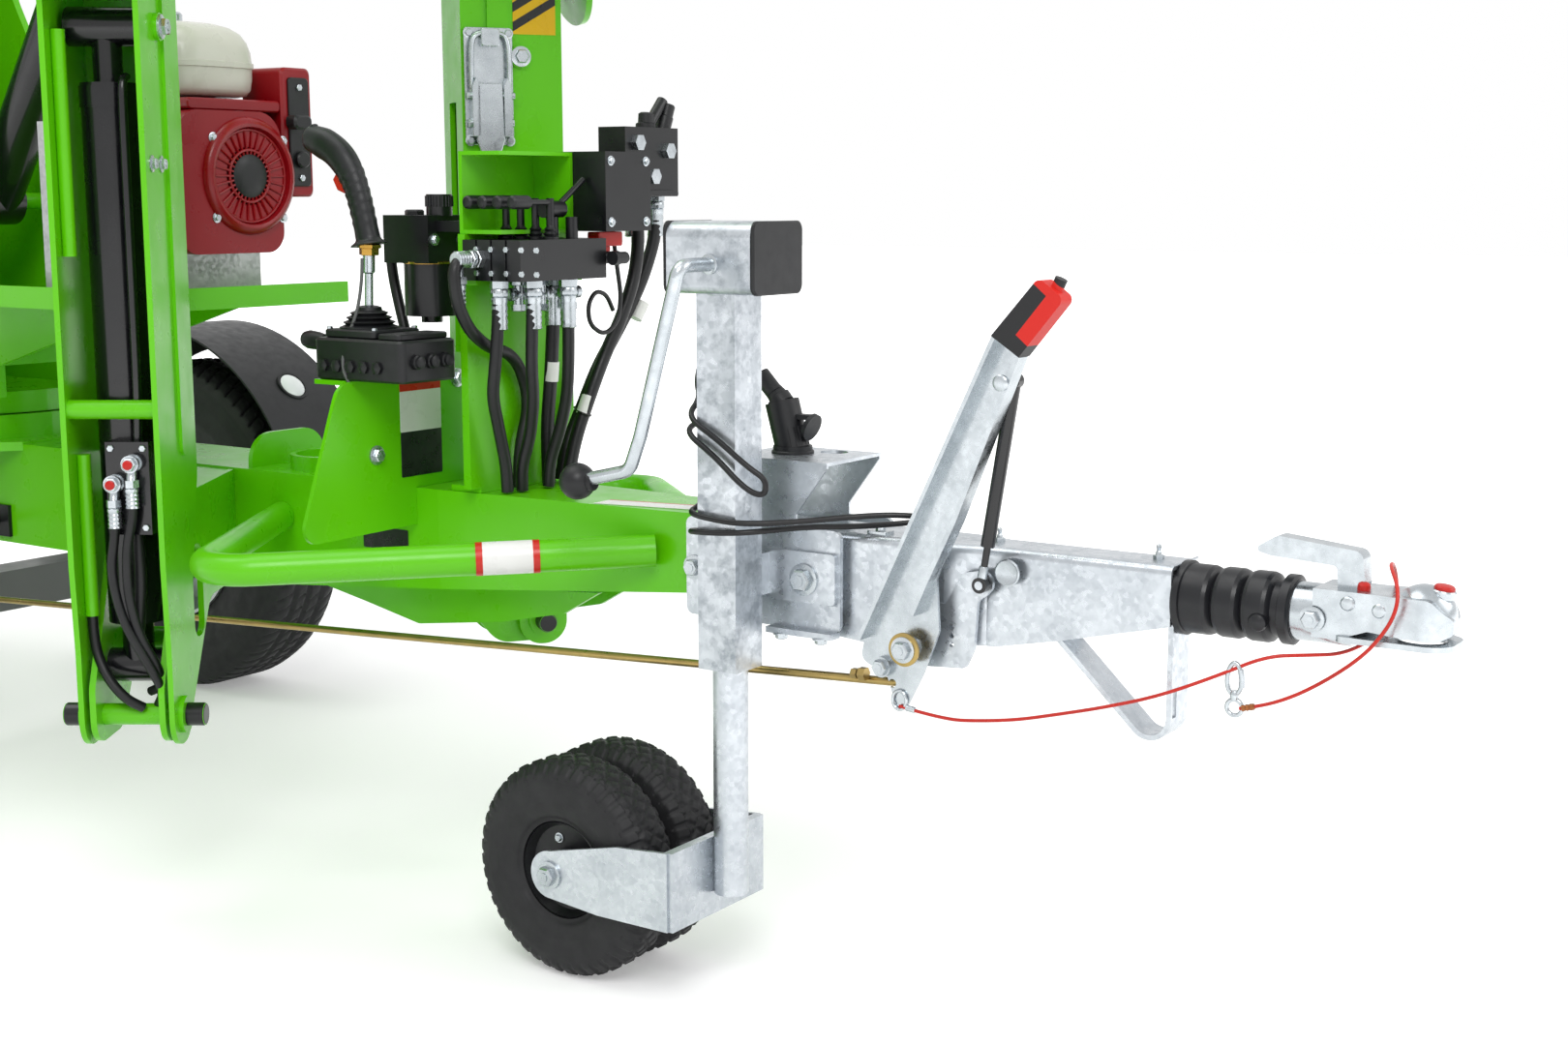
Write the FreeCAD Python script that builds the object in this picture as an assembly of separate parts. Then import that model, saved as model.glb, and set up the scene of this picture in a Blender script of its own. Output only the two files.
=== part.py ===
import FreeCAD, Part
import math
import os

# Towable boom lift, stowed and parked on its jockey wheel.
# Millimetres. X runs forward to the coupling, Y to the left, Z up from the ground.

V = FreeCAD.Vector

# Running gear
AXLE_X = -375.0
WHEEL_R = 320.0
WHEEL_Y = 620.0
TYRE_W = 180.0
RIM_R = 178.0
RIM_GAP = 0.3
AXLE_Z = 272.0
AXLE_SIDE = 70.0
MUDGUARD_R = 392.0
MUDGUARD_WALL = 4.0

# Main beam and drawbar
BEAM_TOP = 574.0
BEAM_FRONT_X = 1360.0
BEAM_REAR_X = -1210.0
BEAM_FRONT_HALF = 54.0
BEAM_HALF = 82.0
BEAM_FRONT_BOTTOM = 476.0
BEAM_BOTTOM = 414.0
TAPER_X = 940.0
COUPLING_FRONT_X = 2258.0
COUPLING_Z = 530.0
DRAWBAR_FRONT_X = COUPLING_FRONT_X - 296
DRAWBAR_HALF = 46.0
DRAWBAR_NOSE_HALF = 35.0
DRAWBAR_TOP = 568.0
DRAWBAR_NOSE_BOTTOM = 502.0
DRAWBAR_BELLY = 440.0
DRAWBAR_WALL = 5.0
DRAWBAR_FOLD = 10.0
NOSE_RECESS = 2.0
CHEEK_IN = 56.0
CHEEK_OUT = 62.0
CHEEK_TOP = 572.0
BRACKET_TOP = 651.0
PLUG_X = 1452.0
PLUG_R = 20.0
SEAT = 0.3
CORD_SHARE = 0.45

# Handbrake: pivot, lever and strut places (x, z), and how they lie across
BRAKE_PIVOT = (1664.0, 450.0)
PIVOT_R = 11.0
QUADRANT_Y = -51.0
STRUT_Y = -60.0
STRUT_TOP = (BRAKE_PIVOT[0] + 119, BRAKE_PIVOT[1] + 310)
STRUT_FOOT = (BRAKE_PIVOT[0] + 82, BRAKE_PIVOT[1] + 79)
STRUT_PIN_R = 5.0
LEVER_Y = -69.0
LEVER_PLATE = 4.0
LEVER_DEPTH = 22.0

# Outriggers: pivot pins and legs
PIN_X_FRONT = 692.0
PIN_X_REAR = -1058.0
PIN_Y = 388.5
PIN_Z = 298.0
PIN_R = 14.0
PIN_HALF = 90.0
LEG_SPLAY = 56.0
LEG_HALF = 61.0
LEG_PLATE = 7.0
LEG_TOP = 1058.0
LEG_IN = -110.0
LEG_OUT = 45.0
LEG_FOOT_R = 38.0
EAR_HALF = 48.0
EAR_PLATE = 8.0
PAD_R = 110.0
PAD_T = 10.0
PAD_Z = 1030.0
LEG_SWING = 105.0
GUIDE_R = 8.5
HOSE_GUIDES = ((20.0, 587.0, 861.0), (10.0, 132.0, 339.0))

# Outrigger cylinders, in the leg's own plane (outwards, up) from the pivot pin
CYL_BASE = (-25.0, 60.0)
CYL_EYE = (-20.0, 867.0)
BARREL_R = 35.0
ROD_R = 18.0
BORE_GAP = 1.0
EYE_R = 24.0
EYE_HALF = 46.0
BASE_EYE_HALF = 36.0

# Turret and booms
SLEW_X = -184.0
SLEW_BASE_R = 205.0
SLEW_R = 195.0
SLEW_GAP = 2.0
SPIGOT_R = 60.0
SPIGOT_GAP = 0.4
TURRET_FLOOR = 652.0
TURRET_HALF = 120.0
TURRET_WALL = 12.0
LINK_LENGTH = 1610.0
LINK_PIN = (-250.0, 1512.0)
UPPER_PIN = (-330.0, 1662.0)
LINK_DEPTH = 88.0
UPPER_DEPTH = 70.0
LINK_HALF = 45.0
BOOM_PIN = (LINK_PIN[0] + LINK_LENGTH - 70, 1872.0)
BOOM_DEPTH = 120.0
BOOM_HALF = 50.0
BOOM_WALL = 5.0
BOOM_REAR_X = -1560.0
INNER_DEPTH = 96.0
INNER_HALF = 38.0
INNER_REAR_X = -1690.0
KNUCKLE_HALF = 66.0
KNUCKLE_PLATE = 10.0
CAGE_PIN = (-1690.0, 1872.0)

# Boom lift cylinders: base pin and rod eye
LIFT_BASE = (-90.0, 950.0)
LIFT_EYE = (230.0, 1428.0)
LIFT_BARREL_R = 38.0
LIFT_ROD_R = 22.0
TOP_BASE = (BOOM_PIN[0] - 50, BOOM_PIN[1] - 120)
TOP_EYE = (BOOM_PIN[0] - 650, BOOM_PIN[1] - 107)
TOP_BARREL_R = 29.0
TOP_ROD_R = 17.0
LIFT_EYE_HALF = 30.0
LUG_INNER = 34.0
LUG_PLATE = 10.0
LUG_EXTRA = 9.0

# Cage
CAGE_FRONT_X = -1740.0
CAGE_REAR_X = -2250.0
CAGE_HALF = 560.0
CAGE_FLOOR_Z = 970.0
RAIL_R = 16.0
POST_R = 13.0
CAGE_CORNER = 90.0
CAGE_LEVELS = (986.0, 1240.0, 1560.0, 1969.0)
FLOOR_T = 30.0

# Jockey wheel
JOCKEY_X = 1444.0
JOCKEY_Y = -121.0
MAST_SIDE = 54.0
MAST_WALL = 3.0
MAST_BOTTOM = 407.0
MAST_TOP = 849.0
HEAD_TOP = 931.0
INNER_TUBE_R = 21.0
TRAIL_X = 1240.0
JOCKEY_R = 138.0
JOCKEY_TYRE_W = 76.0
JOCKEY_GAP = 16.0
JOCKEY_RIM_R = 62.0

# Engine on the turret tray
ENGINE_X = 440.0
ENGINE_Y = -92.0
TRAY_Z = 812.0
TANK_RISE = 284.0
FAN_SLOTS = 30

# Control station before the turret
CONSOLE_Z = 725.0
POST_X = 1012.0
STATION_Z = 911.0
BANK_Z = 852.0
BANK_PITCH = 25.0

os.makedirs("parts", exist_ok=True)
nodes = {}


def box(x0, x1, y0, y1, z0, z1):
    return Part.makeBox(x1 - x0, y1 - y0, z1 - z0, V(x0, y0, z0))


def rod(start, end, radius):
    a, b = V(*start), V(*end)
    return Part.makeCylinder(radius, (b - a).Length, a, b - a)


def fuse(shapes):
    return shapes[0].multiFuse(shapes[1:]).removeSplitter()


def outline(points):
    """Closed wire in XY. Each point is (x, y, corner radius)."""
    edges = []
    ends = []
    n = len(points)
    for i, (x, y, r) in enumerate(points):
        p = V(x, y, 0)
        if r <= 0:
            ends.append((p, p))
            continue
        a = V(points[i - 1][0], points[i - 1][1], 0) - p
        b = V(points[(i + 1) % n][0], points[(i + 1) % n][1], 0) - p
        a.normalize()
        b.normalize()
        half = math.acos(max(-1.0, min(1.0, a.dot(b)))) / 2
        run = r / math.tan(half)
        start, end = p + a * run, p + b * run
        mid_dir = (a + b).normalize()
        centre = p + mid_dir * (r / math.sin(half))
        middle = centre - mid_dir * r
        edges.append((i, Part.Arc(start, middle, end).toShape()))
        ends.append((start, end))
    arcs = dict(edges)
    ordered = []
    for i in range(n):
        if i in arcs:
            ordered.append(arcs[i])
        start, end = ends[i][1], ends[(i + 1) % n][0]
        if (end - start).Length > 1e-6:
            ordered.append(Part.LineSegment(start, end).toShape())
    return Part.Wire(ordered)


def plate_xy(points, z0, z1):
    """Plate with its outline in plan (x, y, radius)."""
    face = Part.Face(outline(points))
    face.translate(V(0, 0, z0))
    return face.extrude(V(0, 0, z1 - z0))


def plate_xz(points, y0, y1):
    """Upright plate with its outline in side view (x, z, radius)."""
    face = Part.Face(outline(points))
    face.rotate(V(0, 0, 0), V(1, 0, 0), 90)
    face.translate(V(0, y0, 0))
    return face.extrude(V(0, y1 - y0, 0))


def plate_yz(points, x0, x1):
    """Upright plate with its outline in end view (y, z, radius)."""
    face = Part.Face(outline(points))
    face.rotate(V(0, 0, 0), V(1, 1, 1), 120)
    face.translate(V(x0, 0, 0))
    return face.extrude(V(x1 - x0, 0, 0))


def path_wire(points, bend):
    """Open wire of straight runs joined by tangent arcs."""
    pts = [V(*p) for p in points]
    radii = bend if isinstance(bend, (list, tuple)) else [bend] * (len(pts) - 2)
    edges = []
    last = pts[0]
    for i in range(1, len(pts) - 1):
        a = (pts[i - 1] - pts[i]).normalize()
        b = (pts[i + 1] - pts[i]).normalize()
        half = math.acos(max(-1.0, min(1.0, a.dot(b)))) / 2
        run = radii[i - 1] / math.tan(half)
        start, end = pts[i] + a * run, pts[i] + b * run
        mid_dir = (a + b).normalize()
        centre = pts[i] + mid_dir * (radii[i - 1] / math.sin(half))
        if (start - last).Length > 1e-6:
            edges.append(Part.LineSegment(last, start).toShape())
        edges.append(Part.Arc(start, centre - mid_dir * radii[i - 1], end).toShape())
        last = end
    edges.append(Part.LineSegment(last, pts[-1]).toShape())
    return Part.Wire(edges)


def bent_bar(points, bend, radius):
    """Round bar or tube bent along straight runs and arcs."""
    wire = path_wire(points, bend)
    direction = V(*points[1]) - V(*points[0])
    ring = Part.Wire(Part.makeCircle(radius, V(*points[0]), direction))
    return wire.makePipeShell([ring], True, False)


def cord(points, radius):
    """Loose cord: straight runs joined by arcs that take 0.45 of the shorter run."""
    radii = []
    for before, at, after in zip(points, points[1:], points[2:]):
        a, b = V(*before) - V(*at), V(*after) - V(*at)
        half_turn = (math.pi - a.getAngle(b)) / 2
        radii.append(CORD_SHARE * min(a.Length, b.Length) / math.tan(half_turn))
    print("cord bend radii", [round(r, 1) for r in radii])
    return bent_bar(points, radii, radius)


def ring_xz(radius_out, radius_in, x, z, y0, y1):
    """Ring or drum about a crosswise axis."""
    outer = rod((x, y0, z), (x, y1, z), radius_out)
    if radius_in <= 0:
        return outer
    return outer.cut(rod((x, y0 - 1, z), (x, y1 + 1, z), radius_in))


def revolve_y(profile, x, z):
    """Turns a closed outline (radius, y, corner radius) about a crosswise axis."""
    face = Part.Face(outline([(r, y, c) for r, y, c in profile]))
    solid = face.revolve(V(0, 0, 0), V(0, 1, 0), 360)
    solid.translate(V(x, 0, z))
    return solid


def main_frame():
    """Tapered beam with keel plates, slew base, collar and rear crossbar."""
    plan = plate_xy(
        [
            (BEAM_FRONT_X, -BEAM_FRONT_HALF, 0),
            (BEAM_FRONT_X, BEAM_FRONT_HALF, 0),
            (TAPER_X, BEAM_HALF, 0),
            (BEAM_REAR_X, BEAM_HALF, 0),
            (BEAM_REAR_X, -BEAM_HALF, 0),
            (TAPER_X, -BEAM_HALF, 0),
        ],
        BEAM_BOTTOM - 1,
        BEAM_TOP,
    )
    side = plate_xz(
        [
            (BEAM_FRONT_X, BEAM_FRONT_BOTTOM, 0),
            (BEAM_FRONT_X, BEAM_TOP, 0),
            (BEAM_REAR_X, BEAM_TOP, 0),
            (BEAM_REAR_X, BEAM_BOTTOM, 0),
            (TAPER_X - 300, BEAM_BOTTOM, 0),
        ],
        -BEAM_HALF - 1,
        BEAM_HALF + 1,
    )
    beam = plan.common(side)
    pieces = [beam]
    keel = [
        (1180, BEAM_BOTTOM + 40, 0),
        (1120, 420, 12),
        (1010, 396, 20),
        (860, 376, 20),
        (760, 396, 0),
        (640, BEAM_BOTTOM + 4, 0),
    ]
    for sign in (-1, 1):
        y0, y1 = sorted((sign * 34.0, sign * 42.0))
        pieces.append(plate_xz(keel, y0, y1))
    base = Part.makeCylinder(SLEW_BASE_R, 46, V(SLEW_X, 0, BEAM_TOP - 4))
    base = base.cut(Part.makeCylinder(SPIGOT_R + SPIGOT_GAP, 60, V(SLEW_X, 0, BEAM_TOP + 10)))
    flange = plate_xy(
        [
            (SLEW_X - 240, -BEAM_HALF, 0),
            (SLEW_X - 120, -225, 40),
            (SLEW_X + 120, -225, 40),
            (SLEW_X + 240, -BEAM_HALF, 0),
            (SLEW_X + 240, BEAM_HALF, 0),
            (SLEW_X + 120, 225, 40),
            (SLEW_X - 120, 225, 40),
            (SLEW_X - 240, BEAM_HALF, 0),
        ],
        BEAM_TOP - 10,
        BEAM_TOP + 4,
    )
    pieces += [base, flange]
    collar_x = 656.0
    collar = Part.makeCylinder(58, 22, V(collar_x, 0, BEAM_TOP - 1))
    collar = collar.cut(Part.makeCylinder(50, 40, V(collar_x, 0, BEAM_TOP)))
    rest_plate = plate_yz(
        [(-70, BEAM_TOP - 2, 0), (70, BEAM_TOP - 2, 0), (70, 622, 40), (-70, 622, 40)],
        560,
        568,
    )
    pieces += [collar, rest_plate]
    return fuse(pieces)


def corner_frames():
    """Name, pin place and heading of each outrigger."""
    rows = []
    for end, x, splay in (("front", PIN_X_FRONT, LEG_SPLAY), ("rear", PIN_X_REAR, 180 - LEG_SPLAY)):
        for side, sign in (("right", -1), ("left", 1)):
            rows.append((f"{end}_{side}", x, sign * PIN_Y, sign * splay))
    return rows


def place(shape, x, y, heading):
    """From the leg's own frame (outwards, along the pin, up) to the machine's."""
    moved = shape.copy()
    moved.rotate(V(0, 0, 0), V(0, 0, 1), heading)
    moved.translate(V(x, y, PIN_Z))
    return moved


EAR_IN = -(PIN_Y - BEAM_HALF + 6) / math.sin(math.radians(LEG_SPLAY))


def bracket():
    """Two ears with oval windows, a cross tube and the pivot pin."""
    top = BEAM_TOP - PIN_Z - 2
    bottom = BEAM_BOTTOM - PIN_Z + 2
    profile = [
        (34, -34, 32),
        (34, 40, 30),
        (-62, 210, 30),
        (-110, top, 30),
        (EAR_IN, top, 0),
        (EAR_IN, bottom, 0),
        (-190, bottom, 40),
        (-70, -34, 40),
    ]
    window = [(-158, 74, 20), (-112, 74, 20), (-112, 200, 20), (-158, 200, 20)]
    pieces = []
    for sign in (-1, 1):
        y0, y1 = sorted((sign * (EAR_HALF - EAR_PLATE), sign * EAR_HALF))
        ear = plate_xz(profile, y0, y1).cut(plate_xz(window, y0 - 1, y1 + 1))
        pieces.append(ear)
    pieces.append(rod((-96, -EAR_HALF + 2, 78), (-96, EAR_HALF - 2, 78), 17))
    deck = EAR_HALF - EAR_PLATE + 1
    pieces.append(box(EAR_IN, -150, -deck, deck, top - 9, top - 1))
    pieces.append(rod((CYL_BASE[0], -EAR_HALF + 2, CYL_BASE[1]), (CYL_BASE[0], EAR_HALF - 2, CYL_BASE[1]), 9))
    pieces.append(rod((0, -PIN_HALF, 0), (0, PIN_HALF, 0), PIN_R))
    return fuse(pieces)


def brackets():
    cut_box = box(BEAM_REAR_X, BEAM_FRONT_X, -BEAM_HALF - SEAT, BEAM_HALF + SEAT, 300, 700)
    solids = []
    for name, x, y, heading in corner_frames():
        solids.append(place(bracket(), x, y, heading).cut(cut_box))
    return Part.makeCompound(solids)


def leg():
    """Open-fronted box leg with a rear web, cross tubes, hose guides and a tilted foot pad."""
    profile = [
        (LEG_FOOT_R, -LEG_FOOT_R, LEG_FOOT_R - 2),
        (LEG_FOOT_R, 90, 60),
        (LEG_OUT, 200, 60),
        (LEG_OUT, LEG_TOP - 30, 10),
        (LEG_OUT - 25, LEG_TOP, 10),
        (LEG_IN + 30, LEG_TOP, 20),
        (LEG_IN, LEG_TOP - 60, 20),
        (LEG_IN, 300, 40),
        (-LEG_FOOT_R, 60, 60),
        (-LEG_FOOT_R, -LEG_FOOT_R, LEG_FOOT_R - 2),
    ]
    pieces = []
    bore = rod((0, -LEG_HALF - 5, 0), (0, LEG_HALF + 5, 0), PIN_R + 0.6)
    for sign in (-1, 1):
        y0, y1 = sorted((sign * (LEG_HALF - LEG_PLATE), sign * LEG_HALF))
        side = plate_xz(profile, y0, y1)
        rib_y = sorted((sign * (LEG_HALF - 1), sign * (LEG_HALF + 4)))
        rib = plate_xz([(-70, 330, 14), (-38, 330, 14), (-38, 980, 14), (-70, 980, 14)], *rib_y)
        pieces.append(side.fuse(rib).cut(bore))
        washer_y = sorted((sign * (LEG_HALF - 1), sign * (LEG_HALF + 6)))
        pieces.append(ring_xz(24, PIN_R + 0.6, 0, 0, *washer_y))
        pieces.append(ring_xz(17, 0, CYL_EYE[0], CYL_EYE[1], *washer_y))
    inner = LEG_HALF - LEG_PLATE + 1
    web = box(LEG_IN, LEG_IN + 8, -inner, inner, 330, LEG_TOP - 62)
    slot = box(LEG_IN - 1, LEG_IN + 9, -22, 22, 420, 800)
    pieces.append(web.cut(slot))
    for out, z, radius in ((30, 398, 12), (25, 960, 18)):
        pieces.append(rod((out, -inner, z), (out, inner, z), radius))
    guide_y = -LEG_HALF + LEG_PLATE + GUIDE_R - 0.5
    for out, low, high in HOSE_GUIDES:
        pieces.append(rod((out, guide_y, low), (out, guide_y, high), GUIDE_R))
    pieces.append(box(LEG_IN + 30, LEG_OUT - 25, -inner, inner, LEG_TOP - 10, LEG_TOP))
    pieces.append(box(0, 26, -inner, inner, PAD_Z - 45, PAD_Z + 8))
    tilt = math.radians(LEG_SWING - 90)
    normal = V(math.cos(tilt), 0, math.sin(tilt))
    hub = V(20, 0, PAD_Z - 14)
    pieces.append(Part.makeCylinder(26, 44, hub, normal))
    pieces.append(Part.makeCylinder(PAD_R, PAD_T, hub + normal * 42, normal))
    return fuse(pieces)


def cylinder_frame():
    base, eye = V(CYL_BASE[0], 0, CYL_BASE[1]), V(CYL_EYE[0], 0, CYL_EYE[1])
    return base, eye, (eye - base).normalize()


def leg_barrel():
    """Hollow barrel with base eye, gland nut and valve block."""
    base, eye, along = cylinder_frame()
    length = (eye - base).Length
    pieces = [
        rod((base.x, -BASE_EYE_HALF, base.z), (base.x, BASE_EYE_HALF, base.z), 22),
        Part.makeCylinder(20, 70, base, along),
        Part.makeCylinder(BARREL_R, length - 60 - 68, base + along * 60, along),
        Part.makeCylinder(BARREL_R + 1.5, 26, base + along * (length - 68 - 30), along),
        box(base.x + 28, base.x + 62, -10, 44, 241, 358),
        box(base.x + 5, base.x + 40, -8, 30, 250, 350),
    ]
    barrel = fuse(pieces)
    bore = Part.makeCylinder(ROD_R + BORE_GAP, length, base + along * 74, along)
    pin = rod((base.x, -60, base.z), (base.x, 60, base.z), 9.6)
    return barrel.cut(bore).cut(pin)


def leg_rod():
    base, eye, along = cylinder_frame()
    length = (eye - base).Length
    shaft = Part.makeCylinder(ROD_R, length - 80, base + along * 80, along)
    head = rod((eye.x, -EYE_HALF, eye.z), (eye.x, EYE_HALF, eye.z), EYE_R)
    return fuse([shaft, head])


def drawbar():
    """Folded tapering drawbar with cheek plates, prop strap, brake quadrant and socket bracket."""
    rear, front = BEAM_FRONT_X + SEAT, DRAWBAR_FRONT_X
    narrow, wide = front - 222, front - 272
    side = [
        (rear, DRAWBAR_TOP, 0),
        (front, DRAWBAR_TOP, 0),
        (front, DRAWBAR_NOSE_BOTTOM, 0),
        (front - 130, 471, 0),
        (front - 211, 454, 20),
        (front - 322, 452, 20),
        (front - 372, DRAWBAR_BELLY, 20),
        (front - 462, 448, 20),
        (rear, 470, 0),
    ]
    body = plate_xz(side, -DRAWBAR_HALF, DRAWBAR_HALF)
    plans = []
    for inset in (0, DRAWBAR_WALL):
        half, nose = DRAWBAR_HALF - inset, DRAWBAR_NOSE_HALF - inset
        x0, x1 = rear + 4 * inset, front + inset
        plans.append([(x0, -half, 0), (wide, -half, 0), (narrow, -nose, 0), (x1, -nose, 0),
                      (x1, nose, 0), (narrow, nose, 0), (wide, half, 0), (x0, half, 0)])
    body = body.common(plate_xy(plans[0], DRAWBAR_BELLY - 40, DRAWBAR_TOP))
    folds = [edge for edge in body.Edges
             if all(abs(v.Z - DRAWBAR_TOP) < 0.01 for v in edge.Vertexes)
             and abs(edge.Vertexes[0].X - edge.Vertexes[-1].X) > 1]
    body = body.makeFillet(DRAWBAR_FOLD, folds)
    body = body.cut(plate_xy(plans[1], DRAWBAR_BELLY - 40, DRAWBAR_TOP - DRAWBAR_WALL))
    fill = DRAWBAR_NOSE_HALF - DRAWBAR_WALL + 1
    pieces = [body, box(front - 120, front - NOSE_RECESS, -fill, fill, DRAWBAR_NOSE_BOTTOM,
                        DRAWBAR_TOP - DRAWBAR_WALL + 1)]
    pieces.append(plate_xz([(front - 205, 456, 0), (front - 130, 472, 0), (front - 4, 502, 0),
                            (front - 4, 508, 0),
                            (front - 130, 478, 0), (front - 205, 462, 0)], -fill, fill))
    strap = plate_xz([(front - 147, 473.7, 0), (front - 1, 335.5, 26), (front - 1, 505, 0)], -22, 22)
    strap = strap.cut(plate_xz([(front - 151, 485.4, 0), (front - 7, 349, 20), (front - 7, 520, 0)], -23, 23))
    pieces.append(strap.cut(box(front - 10, front + 2, -18, -8, 397, 427)))
    for sign in (-1, 1):
        y0, y1 = sorted((sign * CHEEK_IN, sign * CHEEK_OUT))
        pieces.append(plate_xz([(1336, 450, 10), (1560, 450, 10), (1560, CHEEK_TOP, 10),
                                (1336, CHEEK_TOP, 10)],
                               y0, y1))
        y0, y1 = sorted((sign * (DRAWBAR_HALF - 1), sign * (CHEEK_IN + 1)))
        pieces.append(box(BEAM_FRONT_X + 2, 1552, y0, y1, 474, 560))
        y0, y1 = sorted((sign * CHEEK_IN, sign * (CHEEK_OUT + 14)))
        pieces.append(box(1464, 1556, y0, y1, 444, 451))
    pieces.append(plate_xz([(1451, 484, 6), (1557, 484, 6), (1557, 545, 6), (1451, 545, 6)],
                           -CHEEK_OUT - 7, -CHEEK_OUT + 1))
    pieces.append(box(JOCKEY_X - 20, JOCKEY_X + 20, JOCKEY_Y + MAST_SIDE / 2 + SEAT, -CHEEK_OUT + 1, 490,
                      540))
    px, pz = BRAKE_PIVOT
    quadrant = plate_xz([(px - 24, pz + 50, 0), (px + 32, pz + 50, 6), (px + 52, pz + 88, 14),
                         (px + 82, pz + 94, 12),
                         (px + 95, pz + 79, 12), (px + 84, pz + 65, 6), (px + 73, pz + 58, 10),
                         (px + 69, pz + 2, 14),
                         (px + 58, pz - 22, 8), (px, pz - 26, 24), (px - 24, pz - 10, 12)],
                        QUADRANT_Y, -DRAWBAR_HALF + 0.5)
    slots = [rod((px + 40, QUADRANT_Y - 1, pz + 4 + 10 * i), (px + 40, -DRAWBAR_HALF + 1, pz + 4 + 10 * i), 3)
             for i in range(3)]
    for hole in slots:
        quadrant = quadrant.cut(hole)
    pieces.append(quadrant)
    pieces.append(rod((px, -DRAWBAR_HALF, pz), (px, LEVER_Y - 8, pz), PIVOT_R))
    pieces.append(rod((STRUT_FOOT[0], QUADRANT_Y + 1, STRUT_FOOT[1]),
                      (STRUT_FOOT[0], STRUT_Y - 7, STRUT_FOOT[1]), STRUT_PIN_R))
    return Part.makeCompound([fuse(pieces), socket_bracket()])


def socket_bracket():
    """Folded bracket over the drawbar, bored for the towing plug and a second socket."""
    x0, x1, top = 1400.0, 1540.0, BRACKET_TOP
    out, wall = CHEEK_OUT - 1, 4.0
    channel = box(x0, x1, -out, out, CHEEK_TOP + SEAT, top)
    channel = channel.cut(box(x0 - 1, x1 + 1, -out + wall, out - wall, CHEEK_TOP - 10, top - wall))
    slant = plate_xz([(x1 + 2, top - wall, 0), (x1 + 2, CHEEK_TOP - 10, 0), (x1 - 43, CHEEK_TOP - 10, 0),
                      (x1 - 43, CHEEK_TOP + 15, 0)], -out - 1, out + 1)
    channel = channel.cut(slant)
    for x, y, radius in ((PLUG_X, 0, PLUG_R + 1), (1490, 34, 17)):
        channel = channel.cut(Part.makeCylinder(radius, 20, V(x, y, top - 10)))
    return channel


def tow_plug():
    """Round towing plug parked in the bracket, with a bent cable boot."""
    x, z = PLUG_X, BRACKET_TOP
    pieces = [
        Part.makeCylinder(PLUG_R, 30, V(x, 0, z - 20)),
        Part.makeCylinder(PLUG_R + 4, 9, V(x, 0, z + SEAT)),
        rod((x, 0, z + 5), (x - 16, 0, z + 62), PLUG_R + 1),
        rod((x - 14, 0, z + 58), (x - 21, 0, z + 66), PLUG_R - 5),
        rod((x - 15, 0, z + 60), (x - 47, 0, z + 93), 11),
        rod((x + 24, 0, z + 34), (x + 29, 0, z + 32), 17),
        box(x - 8, x + 28, -7, 7, z + 42, z + 48),
    ]
    return fuse(pieces)


def coupling_head():
    """Pressed ball coupling with its hand lever, on the drawbar's shaft."""
    z, front = COUPLING_Z, COUPLING_FRONT_X
    ball_x = front - 36
    shaft = rod((DRAWBAR_FRONT_X - NOSE_RECESS + SEAT, 0, z), (front - 150, 0, z), 24)
    tube = rod((front - 166, 0, z), (front - 105, 0, z), 31)
    side = plate_xz([(front - 142, z + 31, 0), (front - 22, z + 31, 14), (front - 3, z + 10, 10),
                     (front - 3, z - 6, 3),
                     (front - 16, z - 12, 4), (front - 84, z - 8, 8), (front - 116, z - 20, 6),
                     (front - 142, z - 20, 0)],
                    -36, 36)
    plan = plate_xy([(front - 143, -31, 0), (front - 80, -31, 30), (front - 56, -34, 20),
                     (front - 2, -34, 30),
                     (front - 2, 34, 30), (front - 56, 34, 20), (front - 80, 31, 30), (front - 143, 31, 0)],
                    z - 40, z + 60)
    lip = plate_xy([(front - 116, -37, 8), (front, -39, 26), (front, 39, 26),
                    (front - 116, 37, 8)], z - 21, z - 15)
    dome = Part.makeSphere(33, V(ball_x, 0, z + 9))
    handle = plate_xz([(front - 216, z + 62, 4), (front - 189, z + 79, 10), (front - 98, z + 70, 10),
                       (front - 94, z + 38, 6), (front - 98, z + 26, 0), (front - 122, z + 26, 0),
                       (front - 124, z + 53, 6), (front - 196, z + 57, 6)], -12, 12)
    head = fuse([shaft, tube, side.common(plan), lip, dome, handle])
    ball = Part.makeSphere(25.5, V(ball_x, 0, z))
    mouth = Part.makeCylinder(25.0, 60, V(ball_x, 0, z - 60))
    return head.cut(ball).cut(mouth)


def bellows():
    """Turned rubber sleeve with three rings and a collar round the shaft."""
    x0, x1 = DRAWBAR_FRONT_X + SEAT, COUPLING_FRONT_X - 166 - SEAT
    crest, groove, bore = 38.0, 31.0, 24.5
    pts = [(x0, bore, 0), (x0, groove, 0)]
    for start, end in ((0, 42), (42, 75), (75, 108)):
        pts += [(x0 + start + 4, crest - 1.5, 0), (x0 + start + 8, crest, 0), (x0 + end - 8, crest, 0),
                (x0 + end - 4, crest - 1.5, 0), (x0 + end, groove, 0)]
    pts += [(x1 - 7, groove - 1, 0), (x1 - 6, groove + 2, 0), (x1, groove + 2, 0), (x1, bore, 0)]
    face = Part.Face(outline(pts))
    sleeve = face.revolve(V(0, 0, 0), V(1, 0, 0), 360)
    sleeve.translate(V(0, 0, COUPLING_Z))
    return sleeve


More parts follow.
